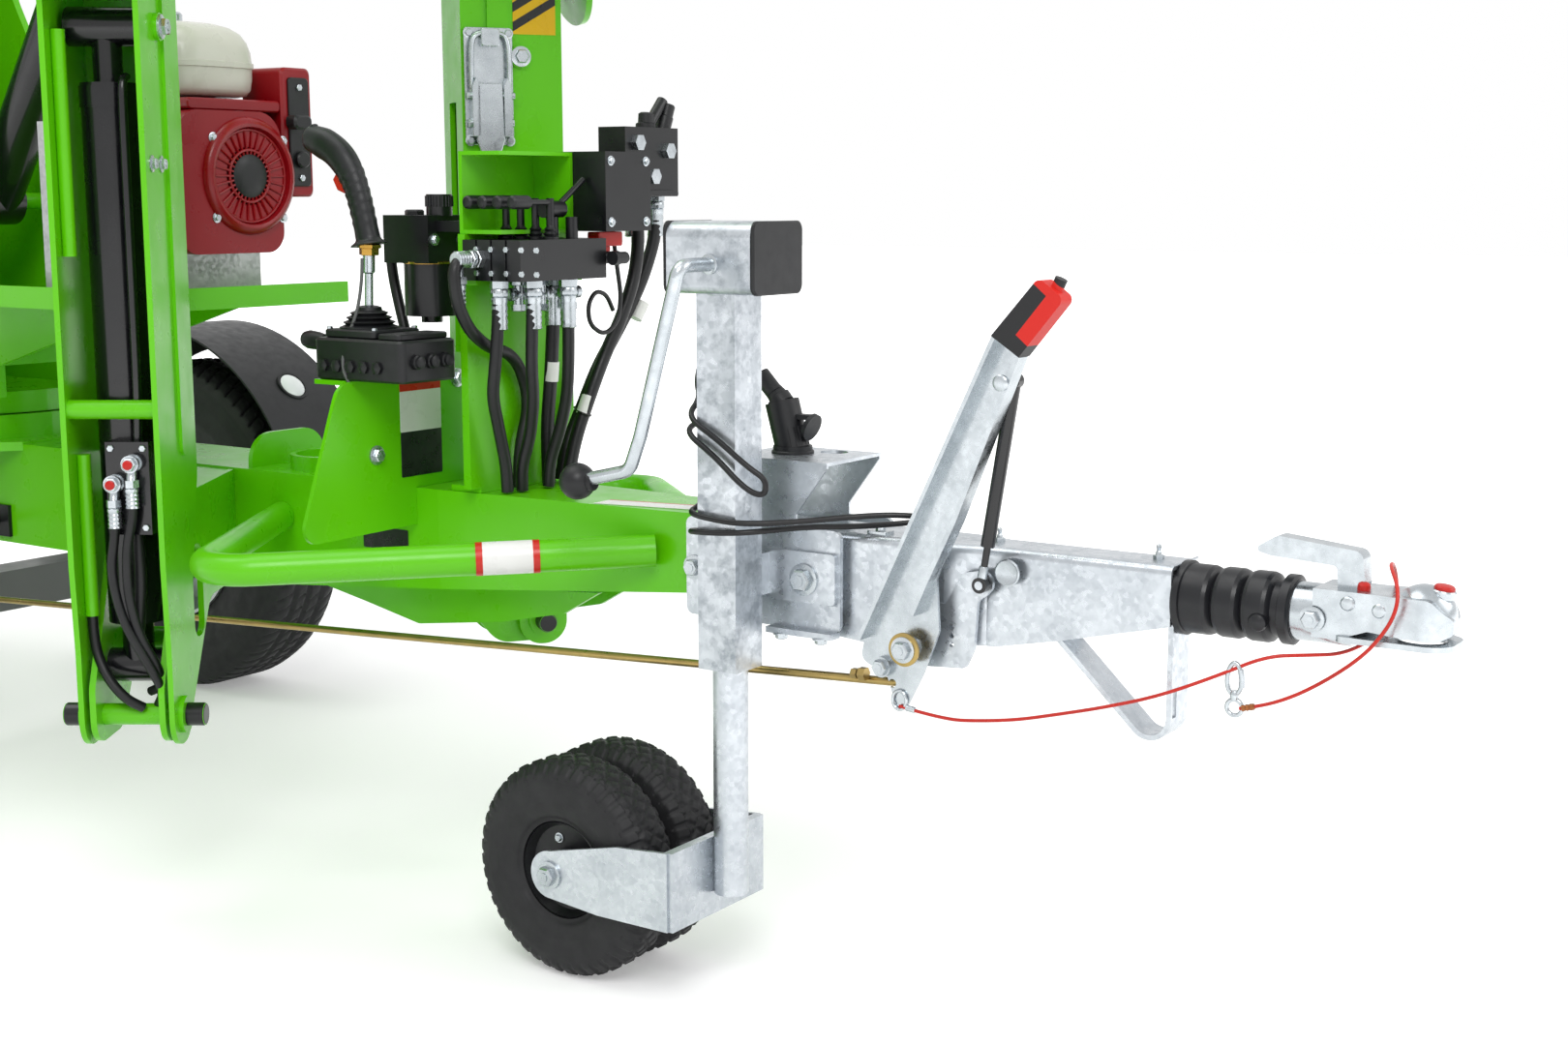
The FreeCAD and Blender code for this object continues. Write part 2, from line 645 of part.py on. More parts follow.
def handbrake():
    """Lever of folded channel above, with a flat lobe round its pivot."""
    px, pz = BRAKE_PIVOT
    web = [(px - 62, pz + 6, 4), (px + 106, pz + 360, 4), (px + 140, pz + 338, 4), (px + 65, pz + 152, 30),
           (px + 32, pz + 83, 10), (px + 36, pz + 22, 12), (px + 15, pz - 31, 10), (px - 8, pz - 76, 5),
           (px - 19, pz - 74, 4), (px - 32, pz - 38, 8), (px - 68, pz - 22, 12)]
    left = [(px - 62, pz + 6, 0), (px + 106, pz + 360, 0), (px + 110, pz + 357, 0), (px - 58, pz + 4, 0)]
    right = [(px + 140, pz + 338, 0), (px + 65, pz + 152, 0), (px + 30, pz + 80, 0), (px + 12, pz + 40, 0),
             (px + 7, pz + 43, 0), (px + 25, pz + 83, 0), (px + 60, pz + 154, 0), (px + 135, pz + 341, 0)]
    lever = fuse([plate_xz(web, LEVER_Y - LEVER_PLATE, LEVER_Y),
                  plate_xz(left, LEVER_Y - LEVER_DEPTH, LEVER_Y - 1),
                  plate_xz(right, LEVER_Y - LEVER_DEPTH, LEVER_Y - 1),
                  rod((STRUT_TOP[0], LEVER_Y - 1, STRUT_TOP[1]), (STRUT_TOP[0], STRUT_Y + 7, STRUT_TOP[1]),
                      STRUT_PIN_R)])
    for x, z, radius in ((px, pz, PIVOT_R + SEAT), (px - 25, pz - 46, 5), (px + 35, pz + 110, 4)):
        lever = lever.cut(rod((x, LEVER_Y - LEVER_PLATE - 1, z), (x, LEVER_Y + 1, z), radius))
    bush = ring_xz(12, 7, px - 36, pz - 27, LEVER_Y - LEVER_PLATE - 8, LEVER_Y - LEVER_PLATE + 1)
    return lever.fuse(bush)


def handbrake_grip():
    """Moulded grip with a release button, over the lever's upper end."""
    px, pz = BRAKE_PIVOT
    grip = plate_xz([(px + 106.4, pz + 360.5, 0), (px + 140.4, pz + 338.5, 0), (px + 193, pz + 402, 8),
                     (px + 162, pz + 424, 8)], LEVER_Y - LEVER_DEPTH - 2, LEVER_Y + 2)
    middle = LEVER_Y - LEVER_DEPTH / 2
    button = rod((px + 176, middle, pz + 408), (px + 183, middle, pz + 423), 7)
    return grip.fuse(button)


def gas_strut():
    """Barrel and piston rod with an eye at each end."""
    top, foot = V(STRUT_TOP[0], STRUT_Y, STRUT_TOP[1]), V(STRUT_FOOT[0], STRUT_Y, STRUT_FOOT[1])
    along = (foot - top).normalize()
    length = (foot - top).Length
    strut = fuse([Part.makeCylinder(8, length - 45, top, along), Part.makeCylinder(4, length, top, along),
                  ring_xz(9, 0, top.x, top.z, STRUT_Y - 6, STRUT_Y + 6),
                  ring_xz(9, 0, foot.x, foot.z, STRUT_Y - 6, STRUT_Y + 6)])
    for end in (top, foot):
        strut = strut.cut(rod((end.x, STRUT_Y - 8, end.z), (end.x, STRUT_Y + 8, end.z), STRUT_PIN_R + SEAT))
    return strut


def brake_rod():
    px, pz = BRAKE_PIVOT
    y = LEVER_Y + SEAT + 5
    return rod((px - 18, y, pz - 46), (AXLE_X + 105 + SEAT, y, 299), 5)


def jockey_mast():
    """Square mast tube with a rounded gear head."""
    h = MAST_SIDE / 2
    x, y = JOCKEY_X, JOCKEY_Y
    tube = box(x - h, x + h, y - h, y + h, MAST_BOTTOM, MAST_TOP + 1)
    hole = h - MAST_WALL
    tube = tube.cut(box(x - hole, x + hole, y - hole, y + hole, MAST_BOTTOM - 1, MAST_TOP))
    head = plate_yz([(y - 49, MAST_TOP, 10), (y + 49, MAST_TOP, 10), (y + 49, HEAD_TOP, 18),
                     (y - 49, HEAD_TOP, 18)],
                    x - 53, x + 64)
    return fuse([tube, head])


def jockey_crank():
    x, y = JOCKEY_X + 8, JOCKEY_Y
    bar = bent_bar([(x, y - 49 - SEAT, 883), (x, y - 106, 883), (x - 52, y - 112, 690),
                    (x - 68, y - 112, 650), (x - 136, y - 112, 634)], [14, 60, 20], 8)
    knob = Part.makeSphere(21, V(x - 145, y - 112, 632))
    return fuse([bar, knob])


def jockey_spindle():
    """Square sliding nut inside the mast."""
    half = MAST_SIDE / 2 - MAST_WALL - SEAT
    x, y = JOCKEY_X, JOCKEY_Y
    return box(x - half, x + half, y - half, y + half, 700, 760)


def jockey_leg():
    """Round inner tube with the folded fork and its axle."""
    x, y = JOCKEY_X, JOCKEY_Y
    tube = Part.makeCylinder(INNER_TUBE_R, 700 - SEAT - 129, V(x, y, 129))
    outer_y = JOCKEY_GAP / 2 + JOCKEY_TYRE_W + 8
    profile = [(x - 24, 101, 0), (x - 24, 198, 0), (x - 100, 192, 10), (TRAIL_X, JOCKEY_R + 30, 0),
               (TRAIL_X, JOCKEY_R - 30, 0), (x - 130, 101, 10)]
    pieces = [tube]
    for sign in (-1, 1):
        y0, y1 = sorted((y + sign * outer_y, y + sign * (outer_y + 5)))
        pieces.append(plate_xz(profile, y0, y1))
        pieces.append(rod((TRAIL_X, y0, JOCKEY_R), (TRAIL_X, y1, JOCKEY_R), 30))
    pieces.append(box(x - 30, x - 18, y - outer_y - 2, y + outer_y + 2, 101, 198))
    pieces.append(rod((TRAIL_X, y - outer_y - 14, JOCKEY_R), (TRAIL_X, y + outer_y + 14, JOCKEY_R), 8))
    return fuse(pieces)


def twin(profile):
    """The same turned piece for both jockey wheels."""
    solids = []
    for sign in (-1, 1):
        centre = JOCKEY_Y + sign * (JOCKEY_GAP / 2 + JOCKEY_TYRE_W / 2)
        solid = revolve_y(profile, TRAIL_X, JOCKEY_R)
        solid.translate(V(0, centre, 0))
        solids.append(solid)
    return solids


def jockey_rims():
    h = JOCKEY_TYRE_W / 2
    r = JOCKEY_RIM_R - RIM_GAP
    half = [(9, 40, 0), (22, 40, 0), (24, 12, 0), (r - 8, 16, 0), (r - 2, 28, 0), (r, 26, 0)]
    profile = [(a, -b, c) for a, b, c in half] + half[::-1]
    rims = twin(profile)
    sleeve = ring_xz(16, 9, TRAIL_X, JOCKEY_R, JOCKEY_Y - JOCKEY_GAP / 2 + 1, JOCKEY_Y + JOCKEY_GAP / 2 - 1)
    hub = ring_xz(22, 9, TRAIL_X, JOCKEY_R, JOCKEY_Y - h, JOCKEY_Y + h)
    return fuse(rims + [sleeve, hub])


def jockey_tyres():
    h = JOCKEY_TYRE_W / 2
    half = [(JOCKEY_RIM_R, 29, 0), (JOCKEY_RIM_R + 8, h - 4, 0), (88, h, 0), (110, h, 0), (124, h - 3, 0),
            (134, h - 12, 0), (JOCKEY_R, 17, 0)]
    return Part.makeCompound(twin([(a, -b, c) for a, b, c in half] + half[::-1]))


def wheel_tyre(sign):
    h = TYRE_W / 2
    half = [(RIM_R, h - 16, 0), (RIM_R + 18, h - 7, 0), (RIM_R + 60, h, 0), (WHEEL_R - 44, h - 1, 0),
            (WHEEL_R - 20, h - 8, 0), (WHEEL_R - 6, h - 20, 0), (WHEEL_R, h - 38, 0)]
    tyre = revolve_y([(a, -b, c) for a, b, c in half] + half[::-1], AXLE_X, WHEEL_R)
    tyre.translate(V(0, sign * WHEEL_Y, 0))
    return tyre


def wheel_rim(sign):
    """Steel disc wheel with a dished centre and hub."""
    h = TYRE_W / 2
    r = RIM_R - RIM_GAP
    profile = [(0, sign * 6, 0), (0, sign * 62, 0), (38, sign * 62, 0), (40, sign * 40, 0),
               (92, sign * 46, 0),
               (140, sign * 22, 0), (r - 20, sign * 30, 0), (r - 14, sign * (h - 16), 0),
               (r, sign * (h - 10), 0),
               (r, -sign * (h - 10), 0), (r - 6, -sign * (h - 10), 0), (r - 16, sign * 6, 0),
               (96, sign * 18, 0)]
    rim = revolve_y(profile, AXLE_X, WHEEL_R)
    rim.translate(V(0, sign * WHEEL_Y, 0))
    return rim


def axle():
    """Square beam axle with trailing arms and brake drums."""
    s = AXLE_SIDE / 2
    tube = box(AXLE_X + 60 - s, AXLE_X + 60 + s, -470, 470, AXLE_Z - s, AXLE_Z + s)
    pieces = [tube]
    for sign in (-1, 1):
        y0, y1 = sorted((sign * 472.0, sign * 500.0))
        pieces.append(plate_xz([(AXLE_X + 100, AXLE_Z - 34, 30), (AXLE_X + 100, AXLE_Z + 30, 30),
                                (AXLE_X + 6, WHEEL_R + 36, 34), (AXLE_X - 40, WHEEL_R, 20),
                                (AXLE_X - 6, WHEEL_R - 40, 30)], y0, y1))
        y0, y1 = sorted((sign * 469.0, sign * 473.0))
        pieces.append(rod((AXLE_X + 60, y0, AXLE_Z), (AXLE_X + 60, y1, AXLE_Z), 28))
        y0, y1 = sorted((sign * 499.0, sign * (WHEEL_Y + 6 - SEAT)))
        pieces.append(rod((AXLE_X, y0, WHEEL_R), (AXLE_X, y1, WHEEL_R), 20))
        y0, y1 = sorted((sign * 499.0, sign * 562.0))
        pieces.append(rod((AXLE_X, y0, WHEEL_R), (AXLE_X, y1, WHEEL_R), 110))
        y0, y1 = sorted((sign * 60.0, sign * 74.0))
        pieces.append(box(AXLE_X + 15, AXLE_X + 105, y0, y1, AXLE_Z, BEAM_BOTTOM - SEAT))
    return fuse(pieces)


def mudguards():
    """Rolled round guards with a front lamp and a stay to the chassis."""
    solids = []
    for sign in (-1, 1):
        y0, y1 = sorted((sign * 520.0, sign * 722.0))
        shell = ring_xz(MUDGUARD_R, MUDGUARD_R - MUDGUARD_WALL, AXLE_X, WHEEL_R, y0, y1)
        y0, y1 = sorted((sign * 722.0, sign * 726.0))
        skirt = ring_xz(MUDGUARD_R, MUDGUARD_R - 52, AXLE_X, WHEEL_R, y0, y1)
        guard = shell.fuse(skirt)
        guard = guard.common(box(AXLE_X - 500, AXLE_X + 500, -800, 800, WHEEL_R + 60, WHEEL_R + 500))
        y0, y1 = sorted((sign * (BEAM_HALF + SEAT), sign * 540.0))
        stay = box(AXLE_X + 340, AXLE_X + 372, y0, y1, WHEEL_R + 126, WHEEL_R + 132)
        y0, y1 = sorted((sign * (BEAM_HALF + SEAT), sign * (BEAM_HALF + 6 + SEAT)))
        leg_plate = box(AXLE_X + 320, AXLE_X + 392, y0, y1, WHEEL_R + 104, WHEEL_R + 154)
        solids.append(fuse([guard, stay, leg_plate]))
    return Part.makeCompound(solids)


def guard_tubes():
    """Tube loops each side of the drawbar and low guards before the mudguards."""
    solids = []
    for sign in (-1, 1):
        loop = bent_bar([(1290, sign * 66, 524), (884, sign * 448, 513),
                         (640, sign * (BEAM_HALF + SEAT), 513)],
                        [60], 20)
        cut_box = plate_xy([(1361, 0, 0), (1361, sign * (BEAM_FRONT_HALF + SEAT), 0),
                            (TAPER_X, sign * (BEAM_HALF + SEAT), 0), (500, sign * (BEAM_HALF + SEAT), 0),
                            (500, 0, 0)], 400, 700)
        solids.append(loop.cut(cut_box))
    return Part.makeCompound(solids)


def shield_plate():
    """Upright guard plate before the control levers."""
    front = plate_yz([(-290, 522, 20), (122, 527, 20), (54, 724, 30), (-214, 724, 30),
                      (-226, 695, 20)], 896, 902)
    front = front.cut(box(890, 910, -BEAM_HALF - SEAT, BEAM_HALF + SEAT, 500, BEAM_TOP + SEAT))
    foot = box(880, 902, -70, 60, BEAM_TOP + SEAT, BEAM_TOP + 8)
    shelf = box(841, 897, -200, -60, CONSOLE_Z - 6, CONSOLE_Z)
    web = box(841, 847, -78, -60, BEAM_TOP + SEAT, CONSOLE_Z - 6)
    return fuse([front, foot, shelf, web])


def control_station():
    """Post with valve bank, open control box and cover, joystick console and oil filter."""
    rear, low, high = POST_X - 12, STATION_Z, STATION_Z + 104
    post = box(rear, POST_X, -95, 115, BEAM_TOP + 7, low - SEAT)
    foot = box(960, POST_X, -76, 76, BEAM_TOP + SEAT, BEAM_TOP + 8)
    shelf = box(rear, POST_X + 18, -95, 115, BANK_Z - 6, BANK_Z)
    nodes["control_post"] = fuse([post, foot, shelf])
    open_box = box(rear, rear + 70, -91, 51, low, high)
    open_box = open_box.cut(box(rear + 6, rear + 71, -92, 46, low + 5, high - 5))
    nodes["control_box"] = open_box.cut(box(POST_X + 1, rear + 71, -36, -14, low - 1, low + 6))
    bank = [box(POST_X + 2, POST_X + 4 * BANK_PITCH - 4, -98, 68, BANK_Z + 4, BANK_Z + 48)]
    for i in range(4):
        x = POST_X + SEAT + BANK_PITCH * i
        bank.append(box(x, x + BANK_PITCH - 3, -100, 70, BANK_Z + SEAT, BANK_Z + 52))
        bank.append(rod((x + 8, -25, BANK_Z + 50), (x + 8, -25, BANK_Z + 104), 5))
        bank.append(rod((x + 8, -25, BANK_Z + 99), (x + 8, -72, BANK_Z + 99), 3.5))
        bank.append(rod((x + 8, -68, BANK_Z + 99), (x + 8, -98, BANK_Z + 99), 8))
    for x, y in ((1084, -8), (1098, 14)):
        bank.append(rod((x, y, BANK_Z + 50), (x, y, BANK_Z + 80), 8))
    bank.append(rod((1084, -26, BANK_Z + 90), (1084, 10, BANK_Z + 90), 11))
    bank.append(rod((1084, 0, BANK_Z + 92), (1092, 46, BANK_Z + 128), 4))
    cover = box(POST_X, POST_X + 113, 51 + SEAT, 147, low + 2, high + 1)
    pump = [box(POST_X + 24, POST_X + 70, 147 + SEAT, 265, low + 50, low + 140),
            rod((POST_X + 46, 225, low + 138), (POST_X + 46, 262, low + 178), 8)]
    nodes["valve_bank"] = Part.makeCompound([fuse(bank), cover, fuse(pump)])
    x, y = 893.0, -150.0
    grip = plate_xz([(x - 103, 1028, 4), (x - 71, 1034, 6), (x + 3, 1005, 14), (x + 11, 980, 14),
                     (x + 43, 903, 12),
                     (x + 37, 889, 0), (x - 41, 889, 0), (x - 56, 940, 30)], y - 18, y + 18)
    joystick = [
        plate_xz([(x - 52, CONSOLE_Z + SEAT, 4), (x + 106, CONSOLE_Z + SEAT, 4),
                  (x + 106, CONSOLE_Z + 64, 14),
                  (x - 52, CONSOLE_Z + 64, 14)], y - 50, y + 50),
        Part.makeCone(43, 18, 24, V(x, y, CONSOLE_Z + 63)),
        rod((x, y, CONSOLE_Z + 80), (x + 3, y, 886), 8),
        rod((x + 1, y, 884), (x + 1, y, 890), 40),
        grip,
    ]
    nodes["joystick_console"] = fuse(joystick)
    x, y = 918.0, -60.0
    bowl = Part.makeCylinder(35, 70, V(x, y, 803))
    head = box(x - 49, x + 31, y - 36, y + 36, 872, 934)
    arm = box(x + 30, rear - SEAT, y - 20, y + 20, low + 2, low + 16)
    nodes["oil_filter"] = fuse([bowl, Part.makeCylinder(14, 10, V(x, y, 794)), head, arm,
                                Part.makeCylinder(17, 28, V(x + 18, y, 933))])


def hydraulic_hoses():
    """Hoses held between the valves, the filter and the beam: (radius, route)."""
    foot = BEAM_TOP + 3
    port = BANK_Z - 0.5
    top = STATION_Z + 48
    routes = [
        (8, [(1040, -100 - SEAT, 880), (1040, -148, 880), (1042, -146, 830), (1042, -126, 794),
             (1036, -86, 768),
             (1028, -20, 752), (1026, 8, 690), (1026, -14, 630), (1024, -16, foot)]),
        (8, [(1086, -50, port), (1086, -54, 790), (1084, -54, 741), (1078, -44, 698), (1064, -36, 650),
             (1052, -40, 610), (1050, -38, foot)]),
        (8, [(1060, -86, port), (1060, -90, 790), (1058, -94, 745), (1050, -92, 705), (1046, -76, 660),
             (1044, -62, 612), (1044, -60, foot)]),
        (8, [(1100, 2, port), (1100, 2, 796), (1094, 8, 745), (1084, 16, 700), (1070, 18, 655),
             (1056, 12, 612),
             (1054, 10, foot)]),
        (9, [(1062, 188, top), (1072, 188, 905), (1072, 178, 850), (1068, 154, 796), (1062, 122, 745),
             (1056, 96, 690), (1050, 72, 635), (1048, 56, foot)]),
        (9, [(1056, 246, top + 1.2), (1058, 244, 905), (1055, 218, 845), (1048, 178, 785), (1038, 134, 725),
             (1034, 104, 670), (1030, 76, 622), (1028, 66, foot)]),
        (9, [(1054, 26, port), (1054, 26, 800), (1050, 24, 725), (1036, 30, 655), (1034, 34, foot)]),
        (7, [(869 - SEAT, -60, 905), (844, -60, 905), (847, -60, 860), (860, -62, 815), (876, -66, 775),
             (884, -68, CONSOLE_Z + 1.5)]),
        (3, [(1100, 96, STATION_Z + 1), (1098, 106, 868), (1096, 117, 826), (1094, 112, 792), (1090, 88, 774),
             (1086, 62, 790), (1085, 60, 816), (1082, 80, 834), (1078, 108, 828), (1076, 124, 806)]),
    ]
    return Part.makeCompound([cord(route, radius) for radius, route in routes])


def mast_cable():
    """Towing cable from the plug, looped round the mast and over the drawbar."""
    return cord([(PLUG_X - 47.6, 0, BRACKET_TOP + 93.6), (1372, -8, 776), (1350, -45, 768), (1372, -88, 742),
                 (1400, -118, 724), (1406, -153, 706), (1450, -156, 684), (1494, -156, 654),
                 (1516, -149, 640),
                 (1513, -149, 620), (1490, -156, 628), (1448, -157, 664), (1404, -154, 688),
                 (1398, -120, 698),
                 (1390, -88, 686), (1398, -80, 640), (1396, -96, 606), (1404, -128, 598), (1407, -154, 593),
                 (1450, -158, 589), (1486, -154, 587), (1530, -116, 588), (1572, -76, 592), (1612, -46, 595),
                 (1640, -30, 594), (1654, -10, 590), (1640, 4, 584), (1608, -20, 580), (1568, -56, 578),
                 (1528, -90, 579), (1492, -150, 577), (1452, -159, 574), (1407, -157, 572), (1401, -122, 568),
                 (1402, -92, 556), (1401, -CHEEK_OUT - 1.2, 550)], 3.5)


def breakaway_cable():
    """Red cable from the brake lever's tail, round the coupling and back to its clip."""
    return cord([(BRAKE_PIVOT[0] - 14, -75.3, 379), (1712, -80, 373), (1760, -82, 379), (1806, -81, 387),
                 (1848, -78, 398), (1904, -72, 413), (1965, -66, 433), (2029, -58, 463), (2076, -50, 488),
                 (2112, -26, 489), (2140, 10, 487), (2166, 50, 506), (2178, 54, 550), (2182, 24, 585),
                 (2188, -12, 591), (2208, -42, 572), (2208, -51, 546), (2192, -53, 518), (2172, -52, 496),
                 (2145, -54, 474), (2112, -55, 452), (2077, -56, 436), (2052, -57, 430)], 2)


def turret():
    """Slew plate and two upright cheeks that carry the link and cylinder pins."""
    floor = BEAM_TOP + 42 + SLEW_GAP
    disc = Part.makeCylinder(SLEW_R, TURRET_FLOOR - floor, V(SLEW_X, 0, floor))
    spigot = Part.makeCylinder(SPIGOT_R, 31, V(SLEW_X, 0, floor - 30))
    cheek = [(60, 650, 0), (60, 860, 60), (-170, 1280, 60), (-180, 1560, 40), (-270, 1725, 40),
             (-390, 1725, 40), (-400, 650, 0)]
    pieces = [disc, spigot]
    for sign in (-1, 1):
        y0, y1 = sorted((sign * (TURRET_HALF - TURRET_WALL), sign * TURRET_HALF))
        pieces.append(plate_xz(cheek, y0, y1))
    pieces.append(box(-400, -388, -TURRET_HALF + 1, TURRET_HALF - 1, 645, 1400))
    for x, z in (LINK_PIN, UPPER_PIN, LIFT_BASE):
        radius = 13 if (x, z) == LIFT_BASE else 17
        pieces.append(rod((x, -TURRET_HALF - 8, z), (x, TURRET_HALF + 8, z), radius))
    return fuse(pieces)


def eye_lugs(eye, seat_z, reach):
    """Pair of lugs that stand each side of a rod eye, with pin heads outside."""
    x, z = eye
    tip = z - reach if seat_z > z else z + reach
    pieces = []
    for sign in (-1, 1):
        y0, y1 = sorted((sign * LUG_INNER, sign * (LUG_INNER + LUG_PLATE)))
        pieces.append(plate_xz([(x - 60, seat_z, 0), (x + 60, seat_z, 0), (x + 26, tip, 20),
                                (x - 26, tip, 20)],
                               y0, y1))
        y0, y1 = sorted((sign * (LUG_INNER + LUG_PLATE - 1), sign * (LUG_INNER + LUG_PLATE + 6)))
        pieces.append(ring_xz(15, 0, x, z, y0, y1))
    return pieces


def link(pin, depth, half, extras):
    """Straight box link with a bored boss at each end."""
    x0, z = pin
    x1 = x0 + LINK_LENGTH
    body = box(x0, x1, -half, half, z - depth / 2, z + depth / 2)
    bosses = [ring_xz(depth / 2, 0, x, z, -half, half) for x in (x0, x1)]
    bar = fuse([body] + bosses + extras)
    for x in (x0, x1):
        bar = bar.cut(rod((x, -half - 1, z), (x, half + 1, z), 17.6))
    return bar


def knuckle():
    x1 = LINK_PIN[0] + LINK_LENGTH
    x2 = UPPER_PIN[0] + LINK_LENGTH
    profile = [(x1 - 45, LINK_PIN[1] - 50, 40), (x1 + 50, LINK_PIN[1] - 50, 40), (x1 + 60, UPPER_PIN[1], 40),
               (BOOM_PIN[0] + 50, BOOM_PIN[1] + 63, 50), (BOOM_PIN[0] - 50, BOOM_PIN[1] + 63, 50),
               (TOP_BASE[0] - 35, TOP_BASE[1], 30), (x2 - 50, UPPER_PIN[1] - 22, 30)]
    pieces = []
    for sign in (-1, 1):
        y0, y1 = sorted((sign * (KNUCKLE_HALF - KNUCKLE_PLATE), sign * KNUCKLE_HALF))
        pieces.append(plate_xz(profile, y0, y1))
    for x, z in ((x1, LINK_PIN[1]), (x2, UPPER_PIN[1]), BOOM_PIN, TOP_BASE):
        radius = 13 if (x, z) == TOP_BASE else 17
        pieces.append(rod((x, -KNUCKLE_HALF - 8, z), (x, KNUCKLE_HALF + 8, z), radius))
    return fuse(pieces)


def upper_boom():
    x, z = BOOM_PIN
    h = BOOM_DEPTH / 2
    body = box(BOOM_REAR_X, x + 40, -BOOM_HALF, BOOM_HALF, z - h, z + h)
    bore = box(BOOM_REAR_X - 1, x - 120, -BOOM_HALF + BOOM_WALL, BOOM_HALF - BOOM_WALL,
               z - h + BOOM_WALL, z + h - BOOM_WALL)
    body = fuse([body] + eye_lugs(TOP_EYE, z - h + 1, 20))
    pin = rod((x, -BOOM_HALF - 1, z), (x, BOOM_HALF + 1, z), 17.6)
    outer = box(BOOM_REAR_X, BOOM_REAR_X + 60, -BOOM_HALF + 1, BOOM_HALF - 1, z - h + 1, z + h - 1)
    slide = box(BOOM_REAR_X - 1, BOOM_REAR_X + 61, -INNER_HALF - SEAT, INNER_HALF + SEAT,
                z - INNER_DEPTH / 2 - SEAT, z + INNER_DEPTH / 2 + SEAT)
    return fuse([body.cut(bore).cut(pin), outer.cut(slide)])


def telescope():
    x, z = BOOM_PIN
    h = INNER_DEPTH / 2
    body = box(INNER_REAR_X + 30, x - 140, -INNER_HALF, INNER_HALF, z - h, z + h)
    head = ring_xz(38, 0, INNER_REAR_X, z, -INNER_HALF, INNER_HALF)
    neck = box(INNER_REAR_X, INNER_REAR_X + 40, -INNER_HALF, INNER_HALF, z - 36, z + 36)
    return fuse([body, neck, head]).cut(rod((INNER_REAR_X, -60, z), (INNER_REAR_X, 60, z), 15.6))


def cage():
    """Levelling bracket, hollow tube rails and floor frame."""
    x, z = CAGE_PIN
    pieces = []
    for sign in (-1, 1):
        y0, y1 = sorted((sign * 42.0, sign * 52.0))
        pieces.append(plate_xz([(x + 40, z - 44, 30), (x + 40, z + 44, 30), (x - 66, z + 44, 10),
                                (x - 66, 1500, 10),
                                (x - 40, 1500, 10)], y0, y1))
    pieces.append(rod((x, -60, z), (x, 60, z), 15))
    r = RAIL_R
    front, rear, half = CAGE_FRONT_X - 20, CAGE_REAR_X + r, CAGE_HALF - r
    middle = (front + rear) / 2
    for level in CAGE_LEVELS:
        pieces.append(rail_loop(rear, front, half, level, r))
    posts = [(px, py) for px in (front, rear) for py in (-half + CAGE_CORNER + 20, 0,
                                                         half - CAGE_CORNER - 20)]
    posts += [(middle, -half), (middle, half)]
    for px, py in posts:
        pieces.append(rod((px, py, CAGE_LEVELS[0]), (px, py, CAGE_LEVELS[-1]), POST_R))
    return fuse(pieces)


def rail_loop(x0, x1, half, level, radius):
    """Closed tube loop in plan with round corners."""
    wire = outline([(x0, -half, CAGE_CORNER), (x1, -half, CAGE_CORNER), (x1, half, CAGE_CORNER),
                    (x0, half, CAGE_CORNER)])
    wire.translate(V(0, 0, level))
    start = wire.OrderedEdges[1].valueAt(wire.OrderedEdges[1].FirstParameter)
    ring = Part.Wire(Part.makeCircle(radius, start, V(1, 0, 0)))
    return wire.makePipeShell([ring], True, False)


def cage_floor():
    inset = 2 * RAIL_R + SEAT
    x0, x1, y = CAGE_REAR_X + inset, CAGE_FRONT_X - 20 - RAIL_R - SEAT, CAGE_HALF - inset
    corner = CAGE_CORNER - RAIL_R
    return plate_xy([(x0, -y, corner), (x1, -y, corner), (x1, y, corner), (x0, y, corner)],
                    CAGE_FLOOR_Z + 2, CAGE_FLOOR_Z + FLOOR_T)


def lift_barrel(base, eye, radius, rod_radius, half, tail):
    """Hollow cylinder barrel from its base pin towards the eye."""
    a, b = V(base[0], 0, base[1]), V(eye[0], 0, eye[1])
    along = (b - a).normalize()
    length = (b - a).Length
    pieces = [
        rod((base[0], -half, base[1]), (base[0], half, base[1]), radius),
        Part.makeCylinder(radius, length - tail, a, along),
    ]
    barrel = fuse(pieces)
    bore = Part.makeCylinder(rod_radius + BORE_GAP, length, a + along * (radius + 12), along)
    pin = rod((base[0], -80, base[1]), (base[0], 80, base[1]), 13.6)
    return barrel.cut(bore).cut(pin)


def lift_rod(base, eye, radius, rod_radius, half):
    a, b = V(base[0], 0, base[1]), V(eye[0], 0, eye[1])
    along = (b - a).normalize()
    length = (b - a).Length
    shaft = Part.makeCylinder(rod_radius, length - radius - 20, a + along * (radius + 20), along)
    return fuse([shaft, rod((eye[0], -half, eye[1]), (eye[0], half, eye[1]), rod_radius + LUG_EXTRA)])


